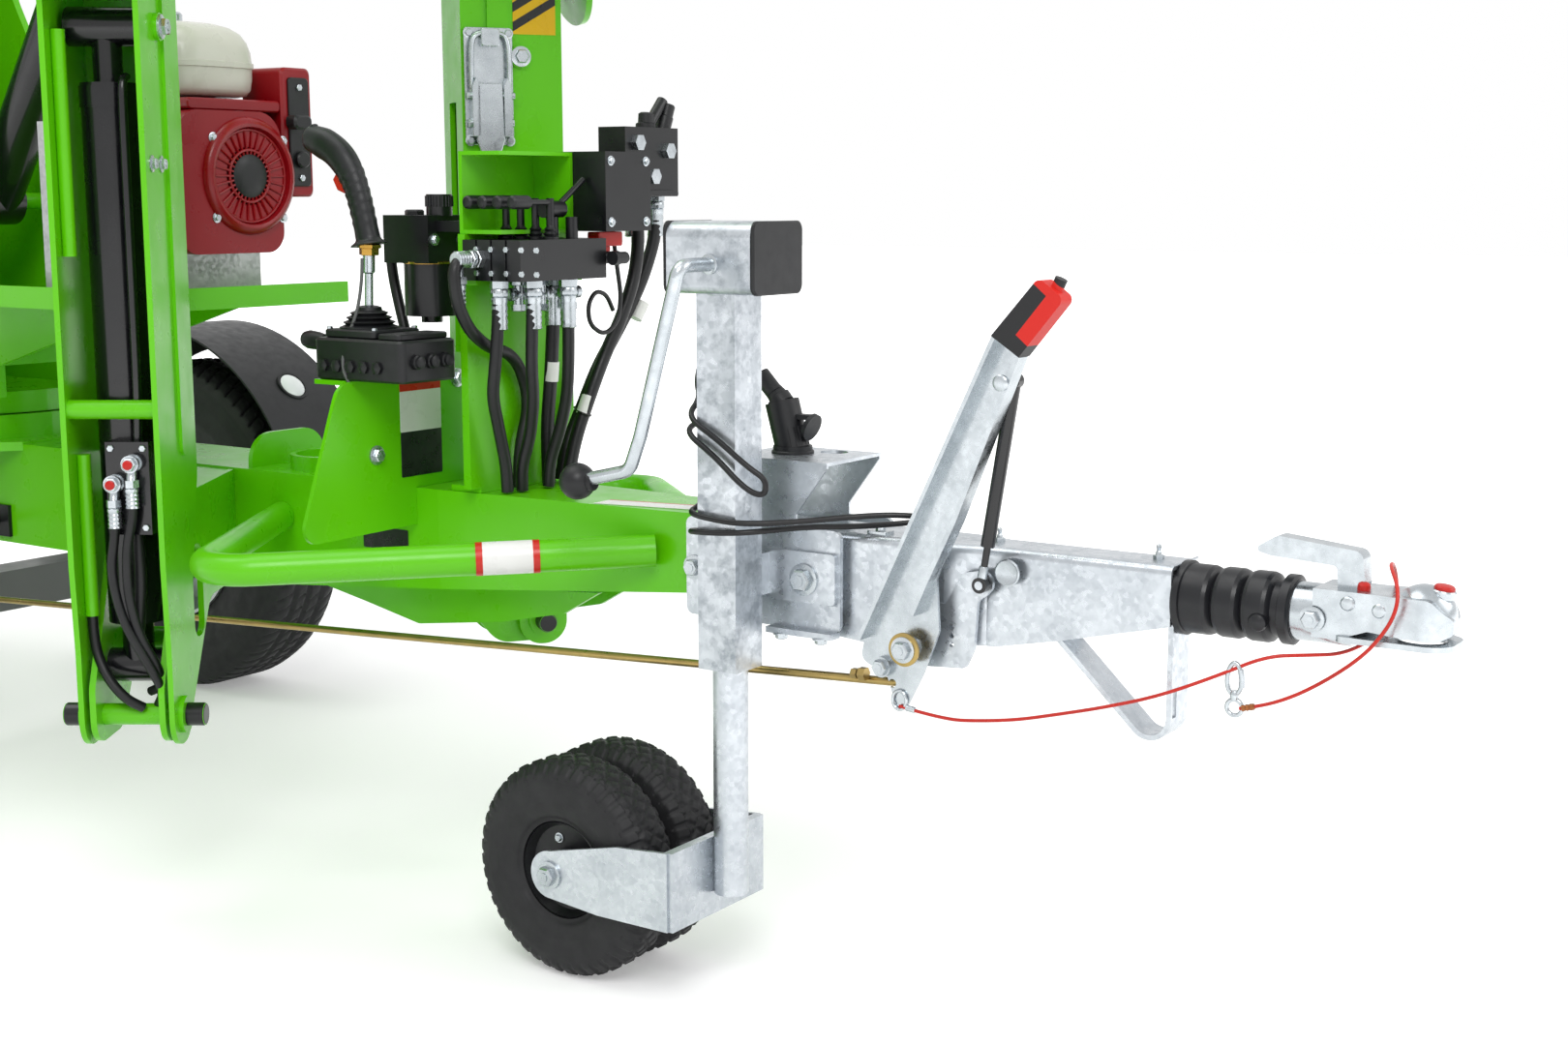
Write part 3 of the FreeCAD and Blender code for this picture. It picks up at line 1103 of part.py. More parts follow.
def engine():
    """Tray, engine with its switch box, slotted cowl and flanged tank."""
    x, y, z = ENGINE_X, ENGINE_Y, TRAY_Z
    x0, x1 = 60 + SEAT, x + 150
    tray = box(x0, x1, -270, 107, z - 8, z)
    lips = [box(x0, x1, -270, -262, z - 1, z + 22), box(x1 - 8, x1, -270, 107, z - 1, z + 22)]
    knees = [plate_xz([(x0, 700, 0), (x0, z - 7, 0), (420, z - 7, 0)], y0, y0 + 8) for y0 in (-118.0, 90.0)]
    nodes["engine_tray"] = fuse([tray] + lips + knees + [box(x0, x0 + 8, -118, 98, 700, z - 4)])
    block = box(x - 130, x + 60, y - 116, y + 113, z + SEAT, z + 250)
    neck = box(x - 90, x + 40, y - 60, y + 60, z + 249, z + TANK_RISE - SEAT)
    panel = plate_xz([(x + 40, z + 150, 0), (x + 120, z + 150, 6), (x + 120, z + 324, 6),
                      (x + 40, z + 324, 0)],
                     y + 112, y + 163)
    nodes["engine_block"] = fuse([block, neck, panel])
    face_x = x + 135
    cowl = plate_yz([(y - 92, z + 67, 30), (y + 93, z + 67, 30), (y + 93, z + 263, 40),
                     (y - 92, z + 263, 40)],
                    x + 60 + SEAT, face_x)
    fan_y, fan_z = y + 32, z + 174
    grille = []
    for i in range(FAN_SLOTS):
        slot = box(face_x - 8, face_x + 1, 38, 62, -2, 2)
        slot.rotate(V(0, 0, 0), V(1, 0, 0), 360 * i / FAN_SLOTS)
        slot.translate(V(0, fan_y, fan_z))
        grille.append(slot)
    nodes["engine_cowl"] = cowl.cut(Part.makeCompound(grille))
    sides = [(x - 140, y - 65, 26), (x + 110, y - 65, 26), (x + 110, y + 101, 26), (x - 140, y + 101, 26)]
    seam = z + TANK_RISE + 44
    flange = [(px + math.copysign(7, px - x), py + math.copysign(7, py - y - 18), r + 7) for px, py,
              r in sides]
    crown = plate_xy(sides, seam, seam + 62)
    rim = [edge for edge in crown.Edges if all(abs(v.Z - seam - 62) < 0.01 for v in edge.Vertexes)]
    nodes["fuel_tank"] = fuse([plate_xy(sides, z + TANK_RISE, seam + 1), crown.makeFillet(20, rim),
                               plate_xy(flange, seam - 3, seam + 2)])


def export(name, shape):
    shape.exportStep(f"parts/{name}.step")


nodes["main_frame"] = main_frame()
nodes["outrigger_brackets"] = brackets()
for corner, cx, cy, heading in corner_frames():
    nodes[f"leg_{corner}"] = place(leg(), cx, cy, heading)
    nodes[f"leg_barrel_{corner}"] = place(leg_barrel(), cx, cy, heading)
    nodes[f"leg_rod_{corner}"] = place(leg_rod(), cx, cy, heading)
nodes["guard_tubes"] = guard_tubes()
nodes["shield_plate"] = shield_plate()
nodes["drawbar"] = drawbar()
nodes["coupling_head"] = coupling_head()
nodes["coupling_bellows"] = bellows()
nodes["handbrake"] = handbrake()
nodes["handbrake_grip"] = handbrake_grip()
nodes["gas_strut"] = gas_strut()
nodes["tow_plug"] = tow_plug()
nodes["hydraulic_hoses"] = hydraulic_hoses()
nodes["mast_cable"] = mast_cable()
nodes["breakaway_cable"] = breakaway_cable()
nodes["brake_rod"] = brake_rod()
nodes["jockey_mast"] = jockey_mast()
nodes["jockey_crank"] = jockey_crank()
nodes["jockey_spindle"] = jockey_spindle()
nodes["jockey_leg"] = jockey_leg()
nodes["jockey_rims"] = jockey_rims()
nodes["jockey_tyres"] = jockey_tyres()
nodes["axle"] = axle()
nodes["mudguards"] = mudguards()
for name, sign in (("left", 1), ("right", -1)):
    nodes[f"tyre_{name}"] = wheel_tyre(sign)
    nodes[f"rim_{name}"] = wheel_rim(sign)
control_station()
nodes["turret"] = turret()
nodes["lower_link"] = link(LINK_PIN, LINK_DEPTH, LINK_HALF,
                           eye_lugs(LIFT_EYE, LINK_PIN[1] - LINK_DEPTH / 2 + 1, 22))
nodes["upper_link"] = link(UPPER_PIN, UPPER_DEPTH, LINK_HALF, [])
nodes["lift_barrel_lower"] = lift_barrel(LIFT_BASE, LIFT_EYE, LIFT_BARREL_R, LIFT_ROD_R, LIFT_EYE_HALF, 60)
nodes["lift_rod_lower"] = lift_rod(LIFT_BASE, LIFT_EYE, LIFT_BARREL_R, LIFT_ROD_R, LIFT_EYE_HALF)
nodes["lift_barrel_upper"] = lift_barrel(TOP_BASE, TOP_EYE, TOP_BARREL_R, TOP_ROD_R, LIFT_EYE_HALF, 60)
nodes["lift_rod_upper"] = lift_rod(TOP_BASE, TOP_EYE, TOP_BARREL_R, TOP_ROD_R, LIFT_EYE_HALF)
nodes["knuckle"] = knuckle()
nodes["upper_boom"] = upper_boom()
nodes["telescope"] = telescope()
nodes["cage"] = cage()
nodes["cage_floor"] = cage_floor()
engine()

for node_name, node_shape in nodes.items():
    export(node_name, node_shape)
    facets = len(node_shape.tessellate(0.5)[1])
    print(node_name, "valid" if node_shape.isValid() else "INVALID", len(node_shape.Solids), facets)
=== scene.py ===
"""Dresses the towable boom lift: finishes, camera, light and the small parts that the solids leave out."""
import math
import bpy
import numpy as np
from mathutils import Matrix, Vector


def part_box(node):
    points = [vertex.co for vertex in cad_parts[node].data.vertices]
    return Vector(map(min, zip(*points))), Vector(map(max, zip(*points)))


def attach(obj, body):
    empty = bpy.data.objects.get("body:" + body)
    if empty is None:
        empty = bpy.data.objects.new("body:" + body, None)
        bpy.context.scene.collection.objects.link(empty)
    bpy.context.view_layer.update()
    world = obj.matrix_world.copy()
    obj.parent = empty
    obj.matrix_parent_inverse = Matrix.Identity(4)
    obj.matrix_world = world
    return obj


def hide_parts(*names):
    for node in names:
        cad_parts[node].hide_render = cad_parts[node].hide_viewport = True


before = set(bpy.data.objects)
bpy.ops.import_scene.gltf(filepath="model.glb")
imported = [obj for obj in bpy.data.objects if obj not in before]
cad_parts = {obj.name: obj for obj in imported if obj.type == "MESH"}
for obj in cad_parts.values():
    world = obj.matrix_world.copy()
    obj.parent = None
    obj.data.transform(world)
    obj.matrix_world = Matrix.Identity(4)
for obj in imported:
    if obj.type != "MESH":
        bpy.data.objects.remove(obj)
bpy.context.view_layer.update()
MM = 0.001

# The photograph's width, and the lens and place that fit it
IMAGE_W = 1620
SENSOR_MM = 36.0
LENS_PX = 2100.0
CAMERA_AT = (2.813, -2.037, 0.962)
CAMERA_AZIMUTH = math.radians(34.0)
CAMERA_PITCH = math.radians(-9.2)

# Studio: the world's light on the object, and how the floor's own glow grows to white away from it, in metres
WORLD_LEVEL = 0.62
GLOW_FROM, GLOW_TO, GLOW_LEAST = 1.6, 4.2, 0.27
FLOOR_REACH = 30.0

# Directions: forward is towards the coupling, and the photograph looks at the right side
FORWARD, LEFT, RIGHT, UP, DOWN = (1, 0, 0), (0, 1, 0), (0, -1, 0), (0, 0, 1), (0, 0, -1)


def middle(node):
    """Centre of a node's box at rest, to the nearest millimetre."""
    low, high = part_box(node)
    return [round((a + b) / 2 / MM) for a, b in zip(low, high)]


# Centres that the frame gives: twin jockey tyres, left road wheel, mast, tank, joystick and filter
JOCKEY_X, JOCKEY_Y, JOCKEY_R = middle("jockey_tyres")
AXLE_X, HALF_TRACK, WHEEL_R = middle("tyre_left")
MAST_X = middle("jockey_spindle")[0]
TANK_AT = middle("fuel_tank")[:2]
STICK_Y = middle("joystick_console")[1]
FILTER_Y = middle("oil_filter")[1]
# Half the distance between the jockey tyres, the engine's shaft, and the first of the valve bank's ports
JOCKEY_SPREAD = 46
HUB_Y, HUB_Z = -60, 986
PORT_X, PORT_PITCH = 1020.3, 25


def linear(code):
    """sRGB hex code to linear RGBA."""
    rgb = np.array([int(code[i:i + 2], 16) for i in (1, 3, 5)]) / 255.0
    low, high = rgb / 12.92, ((rgb + 0.055) / 1.055) ** 2.4
    return (*np.where(rgb <= 0.04045, low, high), 1.0)


def add(tree, kind, settings=None, **links):
    """Adds a node. A link's value is a socket or a plain value; i with a number picks an input by place."""
    node = tree.nodes.new(kind)
    for name, value in (settings or {}).items():
        setattr(node, name, value)
    for name, value in links.items():
        by_place = name[0] == "i" and name[1:].isdigit()
        socket = node.inputs[int(name[1:])] if by_place else node.inputs[name.replace("_", " ")]
        if isinstance(value, bpy.types.NodeSocket):
            tree.links.new(value, socket)
        else:
            socket.default_value = value
    return node


def finish_material(name, colour, roughness, metallic=0.0, ior=1.5, coat=0.0, coat_roughness=0.1):
    """A new material with its shader and the object's own coordinates."""
    made = bpy.data.materials.new(name)
    made.use_nodes = True
    tree = made.node_tree
    tree.nodes.clear()
    out = add(tree, "ShaderNodeOutputMaterial")
    shader = add(tree, "ShaderNodeBsdfPrincipled")
    shader.inputs["Base Color"].default_value = linear(colour)
    shader.inputs["Roughness"].default_value = roughness
    shader.inputs["Metallic"].default_value = metallic
    shader.inputs["IOR"].default_value = ior
    shader.inputs["Coat Weight"].default_value = coat
    shader.inputs["Coat Roughness"].default_value = coat_roughness
    tree.links.new(shader.outputs[0], out.inputs[0])
    where = add(tree, "ShaderNodeTexCoord").outputs["Object"]
    return made, tree, shader, where


def blotches(tree, where, size_mm, levels, share, detail=3.0, roughness=0.5):
    """Noise with blotches about size_mm across, whose middle levels are carried to a range of shares."""
    cloud = add(tree, "ShaderNodeTexNoise", Vector=where, Scale=1000.0 / size_mm, Detail=detail,
                Roughness=roughness)
    return add(tree, "ShaderNodeMapRange", i0=cloud.outputs["Fac"], i1=levels[0], i2=levels[1], i3=share[0],
               i4=share[1]).outputs[0]


def two_tone(tree, shader, share, first, second):
    """Colours the shader between two hex codes by a share."""
    mixer = add(tree, "ShaderNodeMix", {"data_type": "RGBA"}, i0=share, i6=linear(first), i7=linear(second))
    tree.links.new(mixer.outputs[2], shader.inputs["Base Color"])


def relief(tree, shader, where, size_mm, depth_mm, strength, detail=2.0):
    """Raises the surface by noise whose grain is about size_mm across."""
    grain = add(tree, "ShaderNodeTexNoise", Vector=where, Scale=1000.0 / size_mm, Detail=detail,
                Roughness=0.5)
    lift = add(tree, "ShaderNodeBump", Height=grain.outputs["Fac"], Strength=strength, Distance=depth_mm * MM)
    tree.links.new(lift.outputs[0], shader.inputs["Normal"])


def powder_coat(name, colour, shade, roughness=0.27, coat=0.1):
    """Polyester powder coat on steel: a faint orange peel of about 5 mm and a clear gloss."""
    made, tree, shader, where = finish_material(name, colour, roughness, ior=1.4, coat=coat,
                                                coat_roughness=0.08)
    two_tone(tree, shader, blotches(tree, where, 260.0, (0.35, 0.65), (0.0, 0.35)), colour, shade)
    gloss = blotches(tree, where, 40.0, (0.3, 0.7), (roughness - 0.05, roughness + 0.07))
    tree.links.new(gloss, shader.inputs["Roughness"])
    relief(tree, shader, where, 5.0, 0.25, 0.10)
    return made


def galvanised(name, light, dark, spangle_mm, roughness, mottled=0.12):
    """Hot-dip zinc: small soft crystal spangle, cloudy patches and a satin sheen."""
    made, tree, shader, where = finish_material(name, light, roughness, metallic=0.85)
    cells = add(tree, "ShaderNodeTexVoronoi", {"feature": "SMOOTH_F1"}, Vector=where,
                Scale=1000.0 / spangle_mm, Smoothness=0.35, Randomness=1.0)
    tone = add(tree, "ShaderNodeSeparateColor", i0=cells.outputs["Color"]).outputs[0]
    clouds = blotches(tree, where, 70.0, (0.35, 0.68), (0.0, 0.4), 5.0, 0.6)
    mottle = blotches(tree, where, 24.0, (0.47, 0.6), (0.0, mottled), 6.0, 0.7)
    clouds = add(tree, "ShaderNodeMath", {"operation": "ADD"}, i0=clouds, i1=mottle).outputs[0]
    share = add(tree, "ShaderNodeMath", {"operation": "MULTIPLY_ADD"}, i0=tone, i1=0.25, i2=clouds).outputs[0]
    two_tone(tree, shader, share, light, dark)
    gloss = add(tree, "ShaderNodeMapRange", i0=tone, i1=0.0, i2=1.0, i3=roughness - 0.06, i4=roughness + 0.10)
    tree.links.new(gloss.outputs[0], shader.inputs["Roughness"])
    relief(tree, shader, where, 16.0, 0.4, 0.06)
    return made


def plated(name, light, dark, roughness=0.26, metallic=0.95):
    """Electroplated or polished metal: bright and smooth, with faint cloudiness."""
    made, tree, shader, where = finish_material(name, light, roughness, metallic=metallic)
    two_tone(tree, shader, blotches(tree, where, 30.0, (0.3, 0.7), (0.0, 0.6), 4.0), light, dark)
    gloss = blotches(tree, where, 9.0, (0.3, 0.7), (roughness - 0.07, roughness + 0.1))
    tree.links.new(gloss, shader.inputs["Roughness"])
    relief(tree, shader, where, 8.0, 0.1, 0.05)
    return made


def moulded(name, colour, shade, roughness=0.45, grain_mm=2.0, depth_mm=0.15, strength=0.25):
    """Moulded plastic or rubber: fine spark-eroded grain and a little dust tone in patches."""
    made, tree, shader, where = finish_material(name, colour, roughness, ior=1.42)
    two_tone(tree, shader, blotches(tree, where, 70.0, (0.35, 0.7), (0.0, 0.7), 4.0), colour, shade)
    gloss = blotches(tree, where, 18.0, (0.3, 0.7), (roughness - 0.06, roughness + 0.08))
    tree.links.new(gloss, shader.inputs["Roughness"])
    relief(tree, shader, where, grain_mm, depth_mm, strength)
    return made


def two_shot_grip():
    """Two-shot moulded grip: black polypropylene with soft red rubber along its front and round its top.

    How far a point reaches forward, square to the grip, and how far along it, in metres, say which it is."""
    made, tree, shader, where = finish_material("two_shot_grip", "#1c1c1e", 0.5, ior=1.42)
    forward = add(tree, "ShaderNodeVectorMath", {"operation": "DOT_PRODUCT"}, i0=where, i1=(0.77, 0.0, -0.64))
    along = add(tree, "ShaderNodeVectorMath", {"operation": "DOT_PRODUCT"}, i0=where, i1=(0.64, 0.0, 0.77))
    front, foot, top, button = (
        add(tree, "ShaderNodeMath", {"operation": "GREATER_THAN"}, i0=reach.outputs["Value"],
            i1=level).outputs[0]
        for reach, level in ((forward, 0.8664), (along, 1.778), (along, 1.833), (along, 1.8485)))
    strip = add(tree, "ShaderNodeMath", {"operation": "MULTIPLY"}, i0=front, i1=foot).outputs[0]
    red = add(tree, "ShaderNodeMath", {"operation": "MAXIMUM"}, i0=strip, i1=top).outputs[0]
    sleeve = add(tree, "ShaderNodeMix", {"data_type": "RGBA"}, i0=red, i6=linear("#1b1b1d"),
                 i7=linear("#d0241b"))
    whole = add(tree, "ShaderNodeMix", {"data_type": "RGBA"}, i0=button, i6=sleeve.outputs[2],
                i7=linear("#161618"))
    tree.links.new(whole.outputs[2], shader.inputs["Base Color"])
    relief(tree, shader, where, 2.0, 0.15, 0.3)
    return made


# Powder-coated steel: saturated yellow-green, glossy, with a slight peel that softens the lamps' reflections
GREEN = powder_coat("green_powder_coat", "#62c404", "#57b503", 0.3, 0.06)
# The same coat in black on castings: dark, with soft highlights along the edges
BLACK_COAT = powder_coat("black_powder_coat", "#101113", "#16171a", 0.32)
# Two-pack paint on cylinders: deep black with a wet gloss
BLACK_GLOSS = powder_coat("black_cylinder_paint", "#0c0c0f", "#111216", 0.24, 0.3)
# Chassis paint on the axle and telescope: plain mid grey with a dull sheen
GREY_COAT = powder_coat("grey_chassis_paint", "#5b5c5c", "#4c4d4e", 0.42)
# Hot-dip galvanised drawbar: cool light grey, cloudy, with a fine spangle and a satin sheen
ZINC = galvanised("hot_dip_zinc", "#cdd2d7", "#9aa1a8", 6.0, 0.3)
# Older dip with coarse flowery crystals and grey bloom, as on the mast tube
ZINC_MOTTLED = galvanised("mottled_dip_zinc", "#ccd1d6", "#858c93", 9.0, 0.32, mottled=0.36)
# Electroplated zinc on pressings and fasteners: smoother than the dip, grey-blue, mirrors the floor softly
PLATE = plated("bright_zinc_plate", "#c0c6ca", "#9da4a9")
# Hard chrome on ground rod: a clean, narrow highlight
CHROME = plated("chromed_rod", "#dfe2e4", "#cfd3d6", 0.12)
# Zinc with a yellow passivate: dull straw colour
YELLOW_PLATE = plated("yellow_passivate", "#b39a5f", "#8f7c50", 0.34)
# Turned brass fittings: warm yellow, bright where they face the lamps
BRASS = plated("turned_brass", "#c39a4a", "#a07a35", 0.28)
# Vulcanised tyre rubber: matt charcoal whose blocks catch a soft edge of light
RUBBER = moulded("tyre_rubber", "#18181a", "#222224", 0.6, 4.0, 0.2, 0.3)
# Hydraulic hose with a wrapped rubber cover: black, faintly ribbed satin
HOSE = moulded("braided_hose_rubber", "#101012", "#17181a", 0.42, 1.6, 0.12, 0.3)
# Moulded rubber bellows: black with a smooth low gloss that shows every fold
BELLOWS = moulded("moulded_bellows_rubber", "#141518", "#1b1c20", 0.36, 2.5, 0.1, 0.2)
# Injection-moulded black plastic: fine spark grain, satin
BLACK_PLASTIC = moulded("black_moulded_plastic", "#121315", "#1a1b1e", 0.42)
# Injection-moulded red plastic of plugs and caps: bright and slightly glossy
RED_PLASTIC = moulded("red_moulded_plastic", "#c01a10", "#a5130c", 0.34, 3.0, 0.1, 0.15)
# Extruded PVC sheath of the breakaway cable: smooth orange-red
RED_SHEATH = moulded("red_pvc_sheath", "#c4281c", "#a81e14", 0.32, 1.5, 0.08, 0.15)
# Extruded PVC sheath of the trailer cable and the tie: smooth black with a thin highlight
BLACK_SHEATH = moulded("black_pvc_sheath", "#0e0e10", "#151517", 0.34, 1.5, 0.08, 0.15)
# Pressed copper crimp: reddish brown, dulled by handling
BROWN_CRIMP = plated("copper_crimp", "#9a6038", "#7b4a2a", 0.36, 0.8)
# Stove enamel on the recoil cowl: deep red with an even gloss
RED_COWL = powder_coat("red_stove_enamel", "#8c0410", "#74030c", 0.3, 0.05)
# Enamel on the pressed tank: warm off-white with a clear gloss
TANK_WHITE = powder_coat("off_white_tank_enamel", "#c9c8bd", "#bdbcb0", 0.28)
# Die-cast and chequered alloy: flat silver grey with a soft sheen
ALLOY = galvanised("die_cast_alloy", "#b9babb", "#96989a", 5.0, 0.48)
# Silver wheel paint: a metallic grey, duller than plate
STEEL = plated("silver_painted_wheel", "#c2c5c7", "#a9adb0", 0.36, 0.6)
# Printed vinyl film: flat, even colour with a light gloss, in four colours
WHITE_VINYL = moulded("white_vinyl_label", "#e9e9e6", "#dcdcd8", 0.3, 30.0, 0.05, 0.1)
RED_VINYL = moulded("red_vinyl_label", "#c8281c", "#b82218", 0.3, 30.0, 0.05, 0.1)
BLACK_VINYL = moulded("black_vinyl_label", "#1a1b1c", "#222324", 0.3, 30.0, 0.05, 0.1)
YELLOW_VINYL = moulded("yellow_vinyl_label", "#e8b80c", "#dba906", 0.3, 30.0, 0.05, 0.1)
# Moulded lamp lens: milky white, glossy, with a coarse ripple
CLEAR_LENS = moulded("white_lamp_lens", "#e6e8ea", "#d6d9dc", 0.15, 3.0, 0.4, 0.5)
# Two colours moulded together on the handbrake's grip
TWO_SHOT = two_shot_grip()

FINISH = {
    GREEN: ("main_frame outrigger_brackets guard_tubes shield_plate control_post control_box turret "
            "engine_tray lower_link upper_link knuckle upper_boom cage leg_front_right leg_front_left "
            "leg_rear_right leg_rear_left"),
    ZINC: "drawbar jockey_leg",
    ZINC_MOTTLED: "jockey_mast",
    PLATE: "coupling_head handbrake jockey_crank jockey_spindle",
    CHROME: "lift_rod_lower lift_rod_upper",
    BLACK_GLOSS: ("leg_barrel_front_right leg_barrel_front_left leg_barrel_rear_right leg_barrel_rear_left "
                  "leg_rod_front_right leg_rod_front_left leg_rod_rear_right leg_rod_rear_left "
                  "lift_barrel_lower lift_barrel_upper gas_strut"),
    BLACK_COAT: "oil_filter valve_bank",
    BELLOWS: "coupling_bellows",
    YELLOW_PLATE: "brake_rod",
    GREY_COAT: "axle telescope",
    BLACK_PLASTIC: "mudguards joystick_console jockey_rims tow_plug",
    RUBBER: "jockey_tyres tyre_left tyre_right",
    HOSE: "hydraulic_hoses",
    BLACK_SHEATH: "mast_cable",
    RED_SHEATH: "breakaway_cable",
    TWO_SHOT: "handbrake_grip",
    STEEL: "rim_left rim_right",
    ALLOY: "engine_block cage_floor",
    RED_COWL: "engine_cowl",
    TANK_WHITE: "fuel_tank",
}
for coat, names in FINISH.items():
    for name in names.split():
        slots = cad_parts[name].data.materials
        slots.clear()
        slots.append(coat)


def photo_camera():
    """Level-headed pinhole camera: turned by the azimuth, then tipped down by the pitch."""
    lens = bpy.data.cameras.new("photo_camera")
    lens.sensor_width = SENSOR_MM
    lens.lens = LENS_PX / IMAGE_W * SENSOR_MM
    lens.clip_end = 60.0
    holder = bpy.data.objects.new("photo_camera", lens)
    bpy.context.scene.collection.objects.link(holder)
    right = Vector((math.cos(CAMERA_AZIMUTH), math.sin(CAMERA_AZIMUTH), 0))
    level = Vector((-math.sin(CAMERA_AZIMUTH), math.cos(CAMERA_AZIMUTH), 0))
    look = level * math.cos(CAMERA_PITCH) + Vector((0, 0, math.sin(CAMERA_PITCH)))
    up = right.cross(look)
    turn = Matrix((right, up, -look)).transposed().to_4x4()
    holder.matrix_world = Matrix.Translation(CAMERA_AT) @ turn
    bpy.context.scene.camera = holder


def studio():
    """Pale floor, white world behind and broad soft lamps."""
    scene = bpy.context.scene
    scene.view_settings.view_transform = "Standard"
    world = bpy.data.worlds.new("studio_world")
    scene.world = world
    world.use_nodes = True
    tree = world.node_tree
    tree.nodes.clear()
    out = add(tree, "ShaderNodeOutputWorld")
    level = add(tree, "ShaderNodeMapRange", i0=seen_by_eye(tree), i1=0.0, i2=1.0, i3=WORLD_LEVEL, i4=1.0)
    back = add(tree, "ShaderNodeBackground", Color=(1.0, 1.0, 1.0, 1.0), Strength=level.outputs[0])
    tree.links.new(back.outputs[0], out.inputs[0])
    for name, place, aim, size, power in (
            ("key_lamp", (4.5, -4.5, 5.5), (0.6, 0.0, 0.6), 3.0, 230.0),
            ("fill_lamp", (6.0, 2.5, 3.5), (1.0, 0.0, 0.5), 3.5, 90.0),
            ("top_lamp", (-1.0, -1.0, 6.5), (0.0, 0.0, 0.5), 4.5, 160.0)):
        lamp = bpy.data.lights.new(name, "AREA")
        lamp.size = size
        lamp.energy = power
        holder = bpy.data.objects.new(name, lamp)
        scene.collection.objects.link(holder)
        holder.location = place
        holder.rotation_euler = (Vector(aim) - Vector(place)).to_track_quat("-Z", "Y").to_euler()
    made, tree, shader, where = finish_material("pale_studio_floor", "#f4f4f4", 0.7)
    relief(tree, shader, where, 400.0, 0.5, 0.05, detail=3.0)
    away = add(tree, "ShaderNodeVectorMath", {"operation": "LENGTH"}, i0=where).outputs["Value"]
    lift = add(tree, "ShaderNodeMapRange", i0=away, i1=GLOW_FROM, i2=GLOW_TO, i3=GLOW_LEAST, i4=1.0)
    lift = add(tree, "ShaderNodeMath", {"operation": "MULTIPLY"}, i0=lift.outputs[0], i1=seen_by_eye(tree))
    glow = add(tree, "ShaderNodeEmission", Color=(1.0, 1.0, 1.0, 1.0), Strength=lift.outputs[0])
    both = add(tree, "ShaderNodeAddShader", i0=shader.outputs[0], i1=glow.outputs[0])
    end = next(node for node in tree.nodes if node.type == "OUTPUT_MATERIAL")
    tree.links.new(both.outputs[0], end.inputs[0])
    mesh = bpy.data.meshes.new("studio_floor")
    mesh.from_pydata([(FLOOR_REACH * x, FLOOR_REACH * y, 0) for x, y in ((-1, -1), (1, -1), (1, 1), (-1, 1))],
                     [], [(0, 1, 2, 3)])
    mesh.materials.append(made)
    floor = bpy.data.objects.new("studio_floor", mesh)
    scene.collection.objects.link(floor)


def seen_by_eye(tree):
    """1 where the ray comes from the camera, a mirror finish or glass, else 0."""
    path = add(tree, "ShaderNodeLightPath")
    seen = add(tree, "ShaderNodeMath", {"operation": "MAXIMUM"}, i0=path.outputs["Is Camera Ray"],
               i1=path.outputs["Is Transmission Ray"]).outputs[0]
    return add(tree, "ShaderNodeMath", {"operation": "MAXIMUM"}, i0=seen,
               i1=path.outputs["Is Glossy Ray"]).outputs[0]


def shell(rings, closed=False):
    """Quads between neighbouring rings, with flat ends, or joined round where closed.

    A part is its points and its faces; if its volume comes out negative, its faces are turned round."""
    rings = np.asarray(rings, float)
    count, around = rings.shape[:2]
    index = np.arange(count * around).reshape(count, around)
    if closed:
        near, far = index, np.roll(index, -1, axis=0)
    else:
        near, far = index[:-1], index[1:]
    quads = np.stack([near, np.roll(near, -1, 1), np.roll(far, -1, 1), far], -1).reshape(-1, 4)
    points = rings.reshape(-1, 3)
    a, b, c, d = (points[quads[:, k]] - points.mean(0) for k in range(4))
    volume = np.einsum("ij,ij->", a, np.cross(b, c)) + np.einsum("ij,ij->", a, np.cross(c, d))
    faces = quads.tolist()
    if not closed:
        faces += [index[0][::-1].tolist(), index[-1].tolist()]
    if volume < 0:
        faces = [face[::-1] for face in faces]
    return points, faces


def square_to(axis):
    """The unit axis and two unit vectors square to it."""
    axis = np.asarray(axis, float) / np.linalg.norm(axis)
    side = np.cross(axis, (0.0, 0.0, 1.0) if abs(axis[2]) < 0.9 else (1.0, 0.0, 0.0))
    side /= np.linalg.norm(side)
    return axis, side, np.cross(axis, side)


def turned(at, axis, profile, sides=28):
    """Turned part: each pair (along, radius) becomes a ring.

    Its points are at + along·axis + radius·(cos t·side + sin t·other)."""
    axis, side, other = square_to(axis)
    along, radius = np.asarray(profile, float).T[:, :, None, None]
    t = np.linspace(0, 2 * math.pi, sides, endpoint=False)[None, :, None]
    return shell(np.asarray(at, float) + along * axis + radius * (np.cos(t) * side + np.sin(t) * other))


def swept(path, radius, sides=14, closed=False, flat=1.0):
    """Bar along a path: round each point the ring radius·(cos t·side + flat·sin t·other), square to it."""
    path = np.asarray(path, float)
    run = (np.roll(path, -1, 0) - np.roll(path, 1, 0)) if closed else np.gradient(path, axis=0)
    run /= np.linalg.norm(run, axis=1, keepdims=True)
    least = np.eye(3)[np.argmin(np.abs(run).max(0))]
    side = np.cross(run, least)
    side /= np.linalg.norm(side, axis=1, keepdims=True)
    other = np.cross(run, side)
    radius = np.broadcast_to(np.asarray(radius, float).reshape(-1, 1, 1), (len(path), 1, 1))
    t = np.linspace(0, 2 * math.pi, sides, endpoint=False)[None, :, None]
    ring = radius * (np.cos(t) * side[:, None] + flat * np.sin(t) * other[:, None])
    return shell(path[:, None] + ring, closed)


